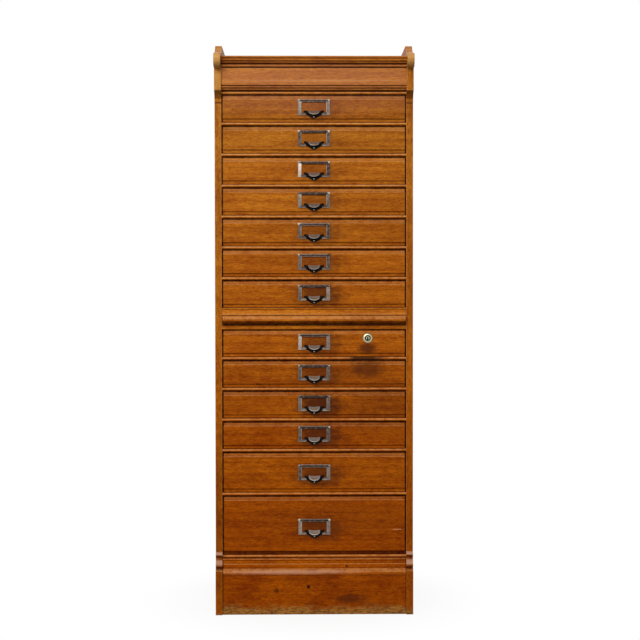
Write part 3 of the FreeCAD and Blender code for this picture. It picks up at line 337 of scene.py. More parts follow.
bare_here = mixed(age, 0.4, given["Bare Wood"], multiplied(age, given["Bare Wood"], tint))
worn = mixed(age, bare, toned, bare_here)
# Caked wax and painted shade turn the wood nearly black where the dark input is high.
caked = maths(age, "MULTIPLY", given["Dirt"], between(age, rub, 0.3, 0.62, 1.0, 0.72))
age.links.new(mixed(age, caked, worn, CAKED_WAX), result["Colour"])
shine = maths(age, "MULTIPLY_ADD", cloud, 0.16, 0.34)
age.links.new(maths(age, "MULTIPLY_ADD", bare, 0.2, shine), result["Roughness"])
print("age:", len(age.nodes), "nodes")

# %% [markdown]
# ## Grime
# Hands have left a dark bloom round every pull, and keys have left one under the lock. Both are soft
# blots with a ragged edge, so one group makes them: it measures how far a point lies from a centre, in
# units of the blot's half width and half height, disturbs that distance with noise, and fades.

# %% Node group: blot of grime
blot, given, result = new_group(
    "blot_of_grime",
    [("From Centre", "Vector", (0, 0, 0)), ("Half Width", "Float", 0.05), ("Half Height", "Float", 0.03),
     ("Ragged", "Float", 0.5), ("Strength", "Float", 1.0)],
    [("Mask", "Float")])
offset = parts(blot, given["From Centre"])
across = maths(blot, "DIVIDE", offset["X"], given["Half Width"])
upwards = maths(blot, "DIVIDE", offset["Z"], given["Half Height"])
squares = maths(blot, "MULTIPLY_ADD", across, across, maths(blot, "MULTIPLY", upwards, upwards))
torn = noise(blot, given["From Centre"], (60.0, 60.0, 110.0), detail=4.0, roughness=0.65)
edge = maths(blot, "MULTIPLY_ADD", maths(blot, "SUBTRACT", torn, 0.5), given["Ragged"],
             maths(blot, "SQRT", squares))
mask = maths(blot, "MULTIPLY", between(blot, edge, 0.35, 1.15, 1.0, 0.0), given["Strength"])
blot.links.new(mask, result["Mask"])
print("blot:", len(blot.nodes), "nodes")

# %% [markdown]
# ## The polished oak
# Carcass, sides and drawer fronts have the same finish, each with stains of its own; a few of those stains
# are painted highlights and painted shade. Only the fronts carry the grime of hands, and each front stores
# its distance from the middle of that grime in its "from_pull" attribute. One function builds all three
# materials. The rings and streaks mix a dark colour with a light one, the pores are darker lines, and a low
# bump follows them.

# %% Material: polished oak
FIELD = -0.183
OAK_LIGHT = colour(207, 128, 34)
OAK_DARK = colour(130, 56, 8)
OAK_PORE = colour(92, 28, 2)
OAK_BARE = colour(208, 148, 94)
OAK_FADED = colour(190, 148, 84)
OAK_SCUFFED = colour(176, 122, 56)
OAK_SCUFFED_DARK = colour(96, 66, 34)
# Tints from the top of the chest to the floor: faded wood and painted light, darker where less light falls.
HIGH_TINT = (0.93, 0.95, 0.84, 1)
LOW_TINT = (0.85, 0.56, 0.030, 1)
GRIME = colour(66, 28, 12)
# Painted sheen and painted shade of the foot mouldings.
FOOT_RUBBED = colour(196, 152, 128)
FOOT_DARK = colour(74, 20, 4)
FRIEZE_FADED = colour(174, 110, 92)
SIDE = 0.239
# A stain is the place of its middle, its half width and half height, its strength and its colour.
FRONT_STAINS = [
    ((0.133, FIELD, 0.667), 0.028, 0.017, 0.8, GRIME),
    ((0.132, FIELD, 0.616), 0.054, 0.028, 0.65, GRIME),
    ((-0.140, FIELD, 0.578), 0.008, 0.003, 0.9, GRIME),
    ((0.208, FIELD, 0.212), 0.016, 0.0014, 0.8, OAK_BARE),
    ((0.060, FIELD, 0.235), 0.250, 0.050, 0.18, GRIME),
    ((0.160, FIELD, 0.520), 0.090, 0.090, 0.22, GRIME),
    ((0.0, FIELD, 1.285), 0.400, 0.040, 0.12, FRIEZE_FADED)]
CARCASS_STAINS = [
    ((0.128, FIELD, 0.644), 0.056, 0.012, 0.9, colour(44, 22, 14)),
    ((-0.015, -0.188, 0.070), 0.006, 0.006, 1.0, colour(20, 8, 4)),
    ((-0.095, -0.188, 0.060), 0.009, 0.007, 0.7, colour(40, 14, 4)),
    ((0.090, -0.188, 0.040), 0.050, 0.014, 0.6, GRIME),
    ((0.081, -0.195, 0.121), 0.004, 0.004, 0.9, colour(40, 8, 4)),
    # A painted highlight along the foot of the frieze.
    ((0.0, -0.198, 1.333), 0.300, 0.0035, 0.3, OAK_BARE),
    ((0.0, -0.198, 1.345), 0.500, 0.040, 0.25, FRIEZE_FADED),
    # A painted highlight, a pale reflection, along the upward slope of the base moulding.
    ((-0.060, -0.195, 0.107), 0.190, 0.006, 0.45, FOOT_RUBBED)]
SIDE_STAINS = [
    ((-SIDE, -0.200, 1.385), 0.030, 0.024, 0.6, OAK_FADED),
    ((SIDE, -0.200, 1.385), 0.030, 0.024, 0.5, OAK_FADED),
    ((-SIDE, -0.200, 1.335), 0.030, 0.034, 0.3, OAK_FADED),
    ((0.0, -0.200, 1.279), 2.0, 0.0014, 0.9, OAK_PORE),
    ((-SIDE, -0.200, 0.230), 0.030, 0.300, 0.3, GRIME),
    ((SIDE, -0.200, 0.230), 0.030, 0.300, 0.2, GRIME),
    # Painted highlights on the upward faces of the foot mouldings.
    ((0.0, -0.200, 0.153), 2.0, 0.0045, 0.6, FOOT_RUBBED),
    ((0.0, -0.200, 0.131), 2.0, 0.0080, 0.55, FOOT_RUBBED),
    # Painted shade in the cove of the foot.
    ((0.0, -0.200, 0.117), 2.0, 0.0050, 0.85, FOOT_DARK)]
# Painted shade along the gaps and under the noses is full at the first distance and gone at the second:
# in bands from the top edge, in metres from the lower edge and from the ends.
TOP_DIRT, LOW_DIRT, END_DIRT = (0.5, 1.0), (0.0004, 0.0026), (0.0012, 0.0024)
# Stains lie only on what stands before the first depth, and are gone behind the second.
IN_SIGHT = (-0.166, -0.158)


def stored(tree, name, output="Fac"):
    """What the mesh stores under a name."""
    return add(tree, "ShaderNodeAttribute", attribute_name=name, attribute_type="GEOMETRY").outputs[output]


def edge_dirt(tree):
    """Caked wax and painted shade: what a face stores as dirt, and painted shade along the ends and edges
    of its board, in the gaps and under the noses above them.
    """
    above = parts(tree, stored(tree, "from_high", "Vector"))
    below = parts(tree, stored(tree, "from_low", "Vector"))
    end = maths(tree, "MINIMUM", above["X"], below["X"])
    # The face's own dirt holds caked wax and painted shade; the lines below add painted shade along the gaps.
    dirt = stored(tree, "dirt")
    for distance, (full, gone), name in ((above["Z"], TOP_DIRT, "dirt_high"),
                                         (below["Z"], LOW_DIRT, "dirt_low"), (end, END_DIRT, "dirt_ends")):
        line = maths(tree, "MULTIPLY", between(tree, distance, full, gone, 1.0, 0.0), stored(tree, name))
        dirt = maths(tree, "MAXIMUM", dirt, line)
    return dirt


def scuffed(tree, place, finish):
    """Near the floor feet and brooms have scuffed the finish off, up to the height that the board stores."""
    ragged = noise(tree, place, (22.0, 22.0, 90.0), detail=4.0, roughness=0.7)
    level = maths(tree, "MULTIPLY_ADD", ragged, -0.050, maths(tree, "ADD", parts(tree, place)["Z"], 0.025))
    reach = stored(tree, "scuff")
    gone = between(tree, maths(tree, "SUBTRACT", reach, level), -0.008, 0.012, 0.0, 0.85)
    gone = maths(tree, "MULTIPLY", gone, maths(tree, "GREATER_THAN", reach, 0.001))
    fibres = noise(tree, place, (90.0, 90.0, 420.0), detail=4.0, roughness=0.75)
    laid_bare = mixed(tree, between(tree, fibres, 0.4, 0.6), OAK_SCUFFED_DARK, OAK_SCUFFED)
    return mixed(tree, gone, finish, laid_bare)


def polished_oak(name, stains, with_grime=False):
    """Oak under old shellac, with its stains. Fronts also get the grime of hands."""
    material, tree, shader, place = new_material(name)
    figure = place_group(tree, oak_figure, Board=stored(tree, "board", "Vector"))
    lightness = maths(tree, "MULTIPLY_ADD", figure["Streaks"], 0.5, 0.06)
    lightness = maths(tree, "MULTIPLY_ADD", figure["Rings"], 0.38, lightness)
    body = mixed(tree, lightness, OAK_DARK, OAK_LIGHT)
    body = mixed(tree, maths(tree, "MULTIPLY", figure["Flecks"], 0.3), body, OAK_LIGHT)
    body = mixed(tree, maths(tree, "MULTIPLY", figure["Pores"], 0.45), body, OAK_PORE)
    aged = place_group(tree, age, Colour=body, Place=place, Tone=stored(tree, "tone"),
                       Wear=stored(tree, "wear"), Dirt=edge_dirt(tree), High_Tint=HIGH_TINT,
                       Low_Tint=LOW_TINT, Bare_Wood=OAK_BARE, Warmth=stored(tree, "warmth"),
                       Clouds=maths(tree, "MULTIPLY", stored(tree, "clouds"), 0.42))
    finish = scuffed(tree, place, aged["Colour"])
    if with_grime:
        hands = place_group(tree, blot, From_Centre=stored(tree, "from_pull", "Vector"), Half_Width=0.075,
                            Half_Height=0.036, Ragged=1.3, Strength=stored(tree, "grime"))["Mask"]
        finish = mixed(tree, hands, finish, GRIME)
    in_sight = between(tree, parts(tree, place)["Y"], *IN_SIGHT, 1.0, 0.0)
    for centre, half_width, half_height, strength, stain in stains:
        moved = add(tree, "ShaderNodeVectorMath", {0: place, 1: centre}, operation="SUBTRACT").outputs[0]
        mask = place_group(tree, blot, From_Centre=moved, Half_Width=half_width, Half_Height=half_height,
                           Ragged=1.0, Strength=maths(tree, "MULTIPLY", in_sight, strength))["Mask"]
        finish = mixed(tree, mask, finish, stain)
    fill_shader(tree, shader, finish, aged["Roughness"], figure["Height"], 0.25, 0.0004)
    shader["Specular IOR Level"].default_value = 0.03
    return material


oak_polished = polished_oak("oak_polished", CARCASS_STAINS)
oak_side = polished_oak("oak_side", SIDE_STAINS)
oak_front = polished_oak("oak_front", FRONT_STAINS, with_grime=True)
print("polished oak:", len(oak_front.node_tree.nodes), "nodes")

# %% [markdown]
# ## Plain oak
# Inside, the wood was never polished: drawer boxes, runners, bottoms and the back are dry, paler and
# greyer, with dust in the pores. The same figure with quieter colours and a rough surface gives that.

# %% Material: plain oak
def plain_oak():
    material, tree, shader, place = new_material("oak_plain")
    figure = place_group(tree, oak_figure, Board=stored(tree, "board", "Vector"))
    lightness = maths(tree, "MULTIPLY", maths(tree, "ADD", figure["Rings"], figure["Streaks"]), 0.5)
    body = mixed(tree, lightness, colour(142, 104, 66), colour(190, 152, 104))
    body = mixed(tree, maths(tree, "MULTIPLY", figure["Pores"], 0.45), body, colour(84, 58, 36))
    aged = place_group(tree, age, Colour=body, Place=place, Tone=stored(tree, "tone"),
                       Wear=maths(tree, "MULTIPLY", stored(tree, "wear"), 0.4),
                       High_Tint=(0.95, 0.93, 0.9, 1), Low_Tint=(0.82, 0.78, 0.72, 1),
                       Bare_Wood=colour(200, 164, 118), Clouds=0.25)
    rough = maths(tree, "ADD", aged["Roughness"], 0.3)
    fill_shader(tree, shader, aged["Colour"], rough, figure["Height"], 0.35, 0.0005)
    shader["Specular IOR Level"].default_value = 0.25
    return material


oak_plain = plain_oak()
print("plain oak:", len(oak_plain.node_tree.nodes), "nodes")

# %% [markdown]
# ## Metal
# The pulls are cast brass that has gone grey-brown. Hands keep the lip, the pins and the beads
# polished. The hollows, the underside of the lip, the bosses beside it, the middle of the lower strip,
# and on the lock the left half of the sunk ring and the key slot, are almost black: dark patina and
# painted shade together. The face attribute "polish" says how much a part is rubbed, and below nothing
# it gives that black. Noise disturbs it, and it drives colour and roughness together. The lock is paler
# and cleaner, and its screws, case and bolt are plain steel, so one function makes all three with other
# colours.

# %% Material: aged metal
HOLLOW_BLACK = colour(7, 4, 3)


def aged_metal(name, dull, rubbed, rough_dull, rough_rubbed, spread, polish=None):
    """Metal between a dull and a rubbed colour, black where the polish is below nothing, for dark patina and
    painted shade. Polish is the face attribute, or a plain number."""
    material, tree, shader, place = new_material(name)
    patches = noise(tree, place, (130.0, 130.0, 130.0), detail=4.0, roughness=0.65)
    specks = noise(tree, place, (900.0, 900.0, 900.0), detail=2.0)
    level = stored(tree, "polish") if polish is None else polish
    rubbing = maths(tree, "MULTIPLY_ADD", maths(tree, "SUBTRACT", patches, 0.5), spread, level, clamp=True)
    rubbing = maths(tree, "MULTIPLY", rubbing, between(tree, specks, 0.62, 0.72, 1.0, 0.6))
    hollow = between(tree, level, -0.3, 0.0, 1.0, 0.0)
    base = mixed(tree, hollow, mixed(tree, rubbing, dull, rubbed), HOLLOW_BLACK)
    rough = maths(tree, "MULTIPLY_ADD", rubbing, rough_rubbed - rough_dull, rough_dull)
    fill_shader(tree, shader, base, rough, specks, 0.2, 0.0001)
    shader["Metallic"].default_value = 0.85
    return material


brass_aged = aged_metal("brass_aged", colour(48, 34, 27), colour(180, 166, 153), 0.6, 0.4, 0.8)
brass_bright = aged_metal("brass_bright", colour(22, 16, 9), colour(198, 192, 156), 0.5, 0.3, 0.35)
steel = aged_metal("steel", colour(70, 66, 62), colour(150, 146, 140), 0.5, 0.35, 0.6, polish=0.5)
print("metals:", brass_aged.name, brass_bright.name, steel.name)

# %% [markdown]
# ## Boards with rounded arrises
# A board in the imported model has knife-sharp edges. On the real chest every arris is rounded by the
# plane and by years of hands, and that rounding catches the light. The helpers copy a node's mesh, merge
# its loose triangles into whole faces, bevel the outward edges that are asked for, and fill inward
# corners with a fillet of caked wax and painted shade. They also give each separate board of the node
# what the oak reads: its own grain coordinates, shifted by a seeded amount so that no two boards match,
# its tone, and the wear, painted highlight, dirt and painted shade of its faces.

# %% Helper: a board with rounded arrises
SHARP = math.radians(35)
SLIVER = 0.00003
SAME_PLACE = 0.000002
FLAT = math.radians(0.5)


def islands(bm):
    """The separate boards of a mesh, each a set of vertices."""
    found, seen = [], set()
    for start in bm.verts:
        if start not in seen:
            board, waiting = {start}, [start]
            while waiting:
                vert = waiting.pop()
                reached = {edge.other_vert(vert) for edge in vert.link_edges} - board
                board |= reached
                waiting += reached
            seen |= board
            found.append(board)
    return found


PLAIN = {"tone": 0.0, "warmth": 0.0, "clouds": 1.0, "dirt_high": 0.0, "dirt_low": 0.0, "dirt_ends": 0.0,
         "scuff": 0.0, "high_band": 0.0028}


def give_grain(bm, seed, **finish):
    """Stores on every vertex its place along, across and through its own board, its distances from the
    board's low and high corners, and the board's finish: its tone, warmth and clouds, how much painted shade
    lies along its upper, lower and outer edges, and how high it is scuffed. The distance from the top is in
    bands of painted shade."""
    finish = {**PLAIN, **finish}
    band = finish.pop("high_band")
    board_layer = bm.verts.layers.float_vector.new("board")
    from_low = bm.verts.layers.float_vector.new("from_low")
    from_high = bm.verts.layers.float_vector.new("from_high")
    layers = {title: bm.verts.layers.float.new(title) for title in finish}
    draw = random.Random(seed)
    for verts in islands(bm):
        low = [min(vert.co[axis] for vert in verts) for axis in range(3)]
        high = [max(vert.co[axis] for vert in verts) for axis in range(3)]
        order = sorted(range(3), key=lambda axis: low[axis] - high[axis])
        shift = [draw.uniform(0, 9) for _ in range(3)]
        own = {**finish, "tone": finish["tone"] + draw.uniform(-0.25, 0.25)}
        for vert in verts:
            vert[board_layer] = Vector([vert.co[axis] + move for axis, move in zip(order, shift)])
            vert[from_low] = vert.co - Vector(low)
            vert[from_high] = (high[0] - vert.co.x, high[1] - vert.co.y, (high[2] - vert.co.z) / band)
            for title, layer in layers.items():
                vert[layer] = own[title]


bodies = frame["record"]["behaviour"]["bodies"]
body_of_node = {node: body for body, nodes in bodies.items() for node in nodes}


def finish_piece(bm, name, node, material, even_shading=True):
    """Writes the mesh to a new piece with its material, which stands for a node and rides on its body. An
    edge where two boards touch is sharp, so that each board is shaded by itself."""
    for face in bm.faces:
        face.smooth = True
    for edge in bm.edges:
        edge.smooth = edge.is_manifold and edge.calc_face_angle(0.0) < SHARP
    mesh = bpy.data.meshes.new(name)
    bm.to_mesh(mesh)
    bm.free()
    mesh.materials.append(material)
    piece = bpy.data.objects.new(name, mesh)
    bpy.context.scene.collection.objects.link(piece)
    if even_shading:
        piece.modifiers.new("even_shading", "WEIGHTED_NORMAL").keep_sharp = True
    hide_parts(node)
    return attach(piece, body_of_node[node])


def whole_mesh(node):
    """A copy of a node's mesh with its corners merged and its flat triangles joined into faces."""
    bm = bmesh.new()
    bm.from_mesh(frame["nodes"][node].data)
    bmesh.ops.remove_doubles(bm, verts=bm.verts, dist=SAME_PLACE)
    bmesh.ops.dissolve_limit(bm, angle_limit=FLAT, verts=bm.verts, edges=bm.edges)
    return bm


def sharp_edges(bm, where, convex):
    return [edge for edge in bm.edges
            if edge.is_manifold and edge.is_convex == convex and edge.calc_face_angle() > SHARP
            and where((edge.verts[0].co + edge.verts[1].co) / 2)]


def bevelled(bm, geom, offset, segments=3, affect="EDGES", clamp=False):
    """Rounds edges or corners and returns the new faces."""
    return bmesh.ops.bevel(bm, geom=geom, offset=offset, offset_type="OFFSET", segments=segments, profile=0.5,
                           affect=affect, clamp_overlap=clamp, material=-1)["faces"]


def round_arrises(bm, ease, where, dirt_fillet=0.0, arris_wear=0.6, slope_wear=0.2, shade_dirt=0.35):
    """Bevels the outward edges that where() picks by their middle, and fills the inward ones with caked wax
    and painted shade. Rounded arrises are worn, slopes that look up get wear and a painted highlight, and
    those that look down get painted shade."""
    wear_layer = bm.faces.layers.float.new("wear")
    dirt_layer = bm.faces.layers.float.new("dirt")
    for face in bevelled(bm, sharp_edges(bm, where, True), ease):
        face[wear_layer] = arris_wear
    # The fillet in inward corners is caked wax and painted shade.
    if dirt_fillet:
        for face in bevelled(bm, sharp_edges(bm, where, False), dirt_fillet, segments=2, clamp=True):
            face[wear_layer] = 0.0
            face[dirt_layer] = 1.0
    bmesh.ops.dissolve_degenerate(bm, dist=SLIVER, edges=bm.edges)
    for face in bm.faces:
        if not where(face.calc_center_median()) or face[dirt_layer] == 1.0:
            continue
        # Faces that look down get painted shade.
        if face.normal.z < -0.25 and face.normal.y < -0.1:
            face[dirt_layer] = shade_dirt
            face[wear_layer] = 0.0
        # Slopes that look up get wear and a painted highlight.
        elif face.normal.z > 0.2 and face.normal.y < -0.2:
            face[wear_layer] = max(face[wear_layer], slope_wear)


def everywhere(place):
    return True


def oak_board(name, ease, where=everywhere, material=oak_polished, edges=(), **finish):
    """A piece that is a node's own shape with rounded arrises and grain. Edges are further settings of
    the arrises, and finish is what the board stores for its material."""
    bm = whole_mesh(name)
    round_arrises(bm, ease, where, **dict(edges))
    give_grain(bm, name, **finish)
    return finish_piece(bm, name + "_wood", name, material)


print("boards ride on", sorted(bodies)[:3], "and others")

# %% [markdown]
# ## Carcass
# The two sides, the top, the frieze and its mouldings, the rails and the foot are worked on their front
# edges, and those are the arrises that hands and dusters have worn. Slopes that look up also get a painted
# highlight and faces that look down painted shade. Only the scrolls of the sides are rounded farther back
# as well.

# %% Carcass boards
FRONT = -0.150
SCROLLS_FROM = 1.37


def in_front(place):
    return place.y < FRONT


def worked_edge(place):
    return place.y < FRONT or place.z > SCROLLS_FROM


# The sides get a painted highlight on slopes that look up and painted shade under the scrolls and in the
# coves.
side_board = {"material": oak_side, "ease": 0.0010, "where": worked_edge,
              "edges": {"dirt_fillet": 0.0014, "slope_wear": 0.6, "shade_dirt": 0.65}}
carcass = {
    "side_left": dict(side_board, tone=0.2, warmth=-0.75, scuff=0.008, clouds=1.3),
    "side_right": dict(side_board, tone=-0.2, warmth=-0.3, scuff=0.014),
    "top_board": dict(ease=0.0007, edges={"dirt_fillet": 0.0007, "arris_wear": 0.3}, tone=-0.25, warmth=0.2),
    "frieze_board": dict(ease=0.0008, tone=0.5, warmth=-0.6, clouds=0.4),
    "cornice_mouldings": dict(ease=0.0004, edges={"dirt_fillet": 0.0008}, tone=-0.3, warmth=-0.3),
    # Rail noses get a painted highlight on top and painted shade underneath.
    "drawer_rails": dict(ease=0.0006, edges={"slope_wear": 0.75, "shade_dirt": 0.9}, tone=0.2),
    # Painted shade along the lower edge of the waist rail, in the gap above the slide.
    "waist_rail": dict(ease=0.0007, edges={"dirt_fillet": 0.0006}, tone=2.0, warmth=-0.9, clouds=0.5,
                       dirt_low=1.0),
    # Painted shadow of the slide's nose lies along the top of the slide rail, and painted shade along its
    # lower edge and under its own nose.
    "slide_rail": dict(ease=0.0007, edges={"shade_dirt": 0.9}, tone=0.8, warmth=-0.7, dirt_high=1.0,
                       high_band=0.007, dirt_low=0.8),
    "plinth_board": dict(ease=0.0012, tone=-0.2, clouds=1.5, scuff=0.020, dirt_ends=1.0),
    "base_moulding": dict(ease=0.0007, edges={"dirt_fillet": 0.0009, "slope_wear": 0.6}, warmth=-0.1,
                          dirt_ends=1.0),
}
for name, finish in carcass.items():
    piece = oak_board(name, **{"where": in_front, **finish})
    print(piece.name, len(piece.data.polygons), "faces")

# %% [markdown]
# ## Hidden boards
# Runners, bottom and back were never finished. They show when a drawer is out and from behind.

# %% Runners, bottom and back
for name in ("runners_left", "runners_right", "bottom_board", "back_boards"):
    oak_board(name, 0.0005, material=oak_plain)
print("hidden boards done")

# %% [markdown]
# ## Writing slide
# The slide's lipping sticks out furthest of all, and its half-round nose is rubbed pale by sleeves. Its
# upper half also gets a painted highlight and its lower half painted shade.

# %% Writing slide
oak_board("slide_board", 0.0006, tone=0.2)
oak_board("slide_lipping", 0.0008, edges={"slope_wear": 0.55, "shade_dirt": 0.92}, tone=0.4, warmth=-0.2)
print("writing slide done")

# %% [markdown]
# ## Drawers
# Each front is a raised field between two lower strips. Besides grain, wear, a painted highlight on its
# upper strip and painted shade along its edges, it stores for every vertex how far it lies from the middle
# of the grime, a little to the right of the pull's, and how dirty this drawer is. The distances are plain
# differences, so the shader gets them right all over the field.

# %% Drawer fronts and boxes
# For each drawer the tone, warmth and clouds of its front, and the grime round its pull.
DRAWERS = {1: (-0.6, 0.0, 1.0, 0.3), 2: (0.0, -0.3, 0.9, 0.2), 3: (0.0, -0.1, 0.9, 0.3),
           4: (-0.1, -0.1, 0.9, 0.4), 5: (-0.1, 0.0, 1.0, 0.45), 6: (-0.1, 0.0, 1.1, 0.45),
           7: (0.1, 0.0, 0.8, 0.75), 8: (-0.1, 0.0, 1.1, 0.6), 9: (-0.2, 0.0, 1.1, 0.6),
           10: (-0.6, 0.0, 1.1, 0.9), 11: (-0.9, 0.3, 1.1, 0.8), 12: (0.3, -0.4, 1.2, 0.75),
           13: (-0.7, 0.2, 0.9, 0.6)}
FRONT_WORK = -0.1655
UPPER_STRIP, LOWER_STRIP = 0.008, 0.0055
LOWER_STRIP_DIRT = {13: 0.9}
HAND_SIDE = Vector((0.014, 0, -0.003))


def front_work(place):
    return place.y < FRONT_WORK


def drawer_front(number):
    name = f"drawer_{number:02d}_front"
    tone, warmth, clouds, dirt = DRAWERS[number]
    bm = whole_mesh(name)
    round_arrises(bm, 0.0007, front_work, dirt_fillet=0.0010, arris_wear=0.5, slope_wear=0.45)
    bottom, top = min(vert.co.z for vert in bm.verts), max(vert.co.z for vert in bm.verts)
    wear_layer, dirt_layer = bm.faces.layers.float["wear"], bm.faces.layers.float["dirt"]
    # The upper strip is painted lighter as highlight, and drawer 13's lower strip is made darker.
    for face in bm.faces:
        height = face.calc_center_median().z
        if face.normal.y < -0.9 and height > top - UPPER_STRIP:
            face[wear_layer] = 0.25
        if height < bottom + LOWER_STRIP and number in LOWER_STRIP_DIRT:
            face[dirt_layer] = LOWER_STRIP_DIRT[number]
    give_grain(bm, name, tone=tone, warmth=warmth, clouds=clouds, dirt_high=1.0, dirt_low=0.8, dirt_ends=1.0)
    low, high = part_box(f"drawer_{number:02d}_pull")
    middle = (low + high) / 2 + HAND_SIDE
    from_pull = bm.verts.layers.float_vector.new("from_pull")
    grime = bm.verts.layers.float.new("grime")
    for vert in bm.verts:
        vert[from_pull] = vert.co - middle
        vert[grime] = dirt
    finish_piece(bm, name + "_wood", name, oak_front)


for number in DRAWERS:
    drawer_front(number)
    oak_board(f"drawer_{number:02d}_box", 0.0006, material=oak_plain)
print("drawers:", len(DRAWERS))

# %% [markdown]
# ## Card-frame pulls
# A pull is one casting: a flat frame with a bead along its outer edge and a taller one round the
# window, a lower strip that dips in the middle, two ears for pins, and a dished half-round lip that the
# fingers go under. The frame starts as one face with rounded corners. Insets make the beads, cuts mark
# out the window and the dark middle of the lower strip, and extrusions raise what stands proud. The lip
# is a section spun round, then tilted and cut off at the frame. All of it is drawn in millimetres round
# the middle of the frame's lower edge, with the drawer front at y = 0.

# %% Helpers: raise, cut and turn
MM = 0.001
# Polish below nothing is black: dark patina and painted shade.
BLACK, DULL, EDGE, PROUD, RUBBED, BRIGHT = -0.4, 0.05, 0.5, 0.35, 0.6, 0.78


def only(kind, geom):
    """The vertices, edges or faces among what an operator made."""
    return [item for item in geom if isinstance(item, kind)]


def everything(bm):
    return bm.verts[:] + bm.edges[:] + bm.faces[:]


def raised(bm, faces, rise):
    """Extrudes faces forward and returns their new fronts."""
    made = bmesh.ops.extrude_face_region(bm, geom=faces)["geom"]
    bmesh.ops.translate(bm, verts=only(bmesh.types.BMVert, made), vec=(0, -rise, 0))
    return only(bmesh.types.BMFace, made)


def cut(bm, geom, place, normal, **settings):
    """Cuts geometry along a plane and returns the edges of the cut."""
    made = bmesh.ops.bisect_plane(bm, geom=geom, dist=0.0001, plane_co=place, plane_no=normal, **settings)
    return only(bmesh.types.BMEdge, made["geom_cut"])


def turned(bm, section, axis, closed):
    """Spins a section of points all the way round an axis."""
    verts = [bm.verts.new(point) for point in section]
    ends = verts[1:] + verts[:1] if closed else verts[1:]
    edges = [bm.edges.new(pair) for pair in zip(verts, ends)]
    bmesh.ops.spin(bm, geom=verts + edges, cent=(0, 0, 0), axis=axis, dvec=(0, 0, 0),
                   angle=2 * math.pi, steps=64, use_merge=True, use_duplicate=False)
    bmesh.ops.remove_doubles(bm, verts=bm.verts, dist=0.001)


print("polish runs from", BLACK, "to", BRIGHT)

# %% Frame of a pull
FRAME_OUTLINE = [(-40, 0), (-40, 39), (40, 39), (40, 0), (18, 0), (6, -7), (0, -9), (-6, -7), (-18, 0)]
FRAME_THICK, CORNER, SOFTENING = 1.8, 2.2, 0.55
OUTER_BEAD, OUTER_RISE = 1.6, 0.7
WINDOW_BEAD, WINDOW_RISE = 2.2, 1.3
WINDOW_HALF, WINDOW_LOW, WINDOW_TOP = 32.6, 4.6, 33.7
DIP_HALF = 19
SIDE_FLAT, LOW_FLAT = 0.16, 0.14
ACROSS, UP = (1, 0, 0), (0, 0, 1)


def face_under(bm, x, z):
    """The face whose middle lies nearest to a point of the front."""
    return min(bm.faces, key=lambda face: (face.calc_center_median() - Vector((x, 0, z))).length)


def pull_frame(bm, polish_layer):
    verts = [bm.verts.new((x, 0, z)) for x, z in FRAME_OUTLINE]
    bm.faces.new(verts)
    bevelled(bm, verts[4:], CORNER, segments=4, affect="VERTICES")
    bmesh.ops.recalc_face_normals(bm, faces=bm.faces)
    if bm.faces[:][0].normal.y > 0:
        bmesh.ops.reverse_faces(bm, faces=bm.faces)
    for face in bmesh.ops.inset_individual(bm, faces=bm.faces, thickness=OUTER_BEAD)["faces"]:
        centre = face.calc_center_median()
        # The outer bead round the dip under the lip is painted black: dark patina and painted shade.
        face[polish_layer] = BLACK if abs(centre.x) < 26 and centre.z < 3 else PROUD
    for place, normal in (((-WINDOW_HALF, 0, 0), ACROSS), ((WINDOW_HALF, 0, 0), ACROSS),
                          ((0, 0, WINDOW_LOW), UP), ((0, 0, WINDOW_TOP), UP)):
        cut(bm, everything(bm), place, normal)
    window = face_under(bm, 0, 19.5)
    for face in bmesh.ops.inset_individual(bm, faces=[window], thickness=WINDOW_BEAD)["faces"]:
        face[polish_layer] = EDGE if abs(face.calc_center_median().x) > 25 else DULL
    for side in (-DIP_HALF, DIP_HALF):
        strip = face_under(bm, 0, 0)
        cut(bm, [strip, *strip.edges, *strip.verts], (side, 0, 0), ACROSS)
    for face in bm.faces:
        centre = face.calc_center_median()
        if face[polish_layer] == 0 and face != window and centre.z < WINDOW_TOP:
            # The dip in the middle of the lower strip, under the lip, is painted black: dark patina and
            # painted shade.
            dip = BLACK if abs(centre.x) < DIP_HALF else LOW_FLAT
            face[polish_layer] = SIDE_FLAT if abs(centre.x) > WINDOW_HALF else dip
    bmesh.ops.delete(bm, geom=[window], context="FACES_ONLY")
    front = raised(bm, bm.faces[:], FRAME_THICK)
    for polish, rise in ((PROUD, OUTER_RISE), (EDGE, WINDOW_RISE), (DULL, WINDOW_RISE)):
        level = [face for face in front if face.is_valid and abs(face[polish_layer] - polish) < 0.001]
        for face in raised(bm, level, rise):
            face[polish_layer] = polish
    bmesh.ops.recalc_face_normals(bm, faces=bm.faces)
    arrises = [edge for edge in bm.edges if edge.is_manifold and edge.is_convex
               and edge.calc_face_angle() > SHARP and max(vert.co.y for vert in edge.verts) < -1.0]
    bevelled(bm, arrises, SOFTENING, clamp=True)


print("frame outline:", len(FRAME_OUTLINE), "points")

# %% [markdown]
# The lip, bosses, ears and pins are closed shells that reach into the frame, so the pull looks like one
# casting.

# %% Helpers: lip, bosses and pins
LIP_SECTION = [(0, 0.2), (11.5, 0), (13.6, 0.1), (14.4, 0.6), (14.5, 1.3), (14.1, 1.9), (13.3, 2.2),
               (12.4, 2.1), (11.2, 1.8), (7.5, 1.35), (0, 1.2)]
LIP_TILT = math.radians(37)
LIP_PLACE = (0, -FRAME_THICK, 8.2)
INSIDE_FRAME = -0.9
BOSS_TURN = math.radians(30)
EAR_THICK = 2.3


def behind_cut(bm, depth):
    """Cuts off what lies behind a plane parallel to the drawer front, and closes the cut."""
    rim = cut(bm, everything(bm), (0, depth, 0), (0, 1, 0), clear_outer=True)
    bmesh.ops.holes_fill(bm, edges=rim, sides=0)


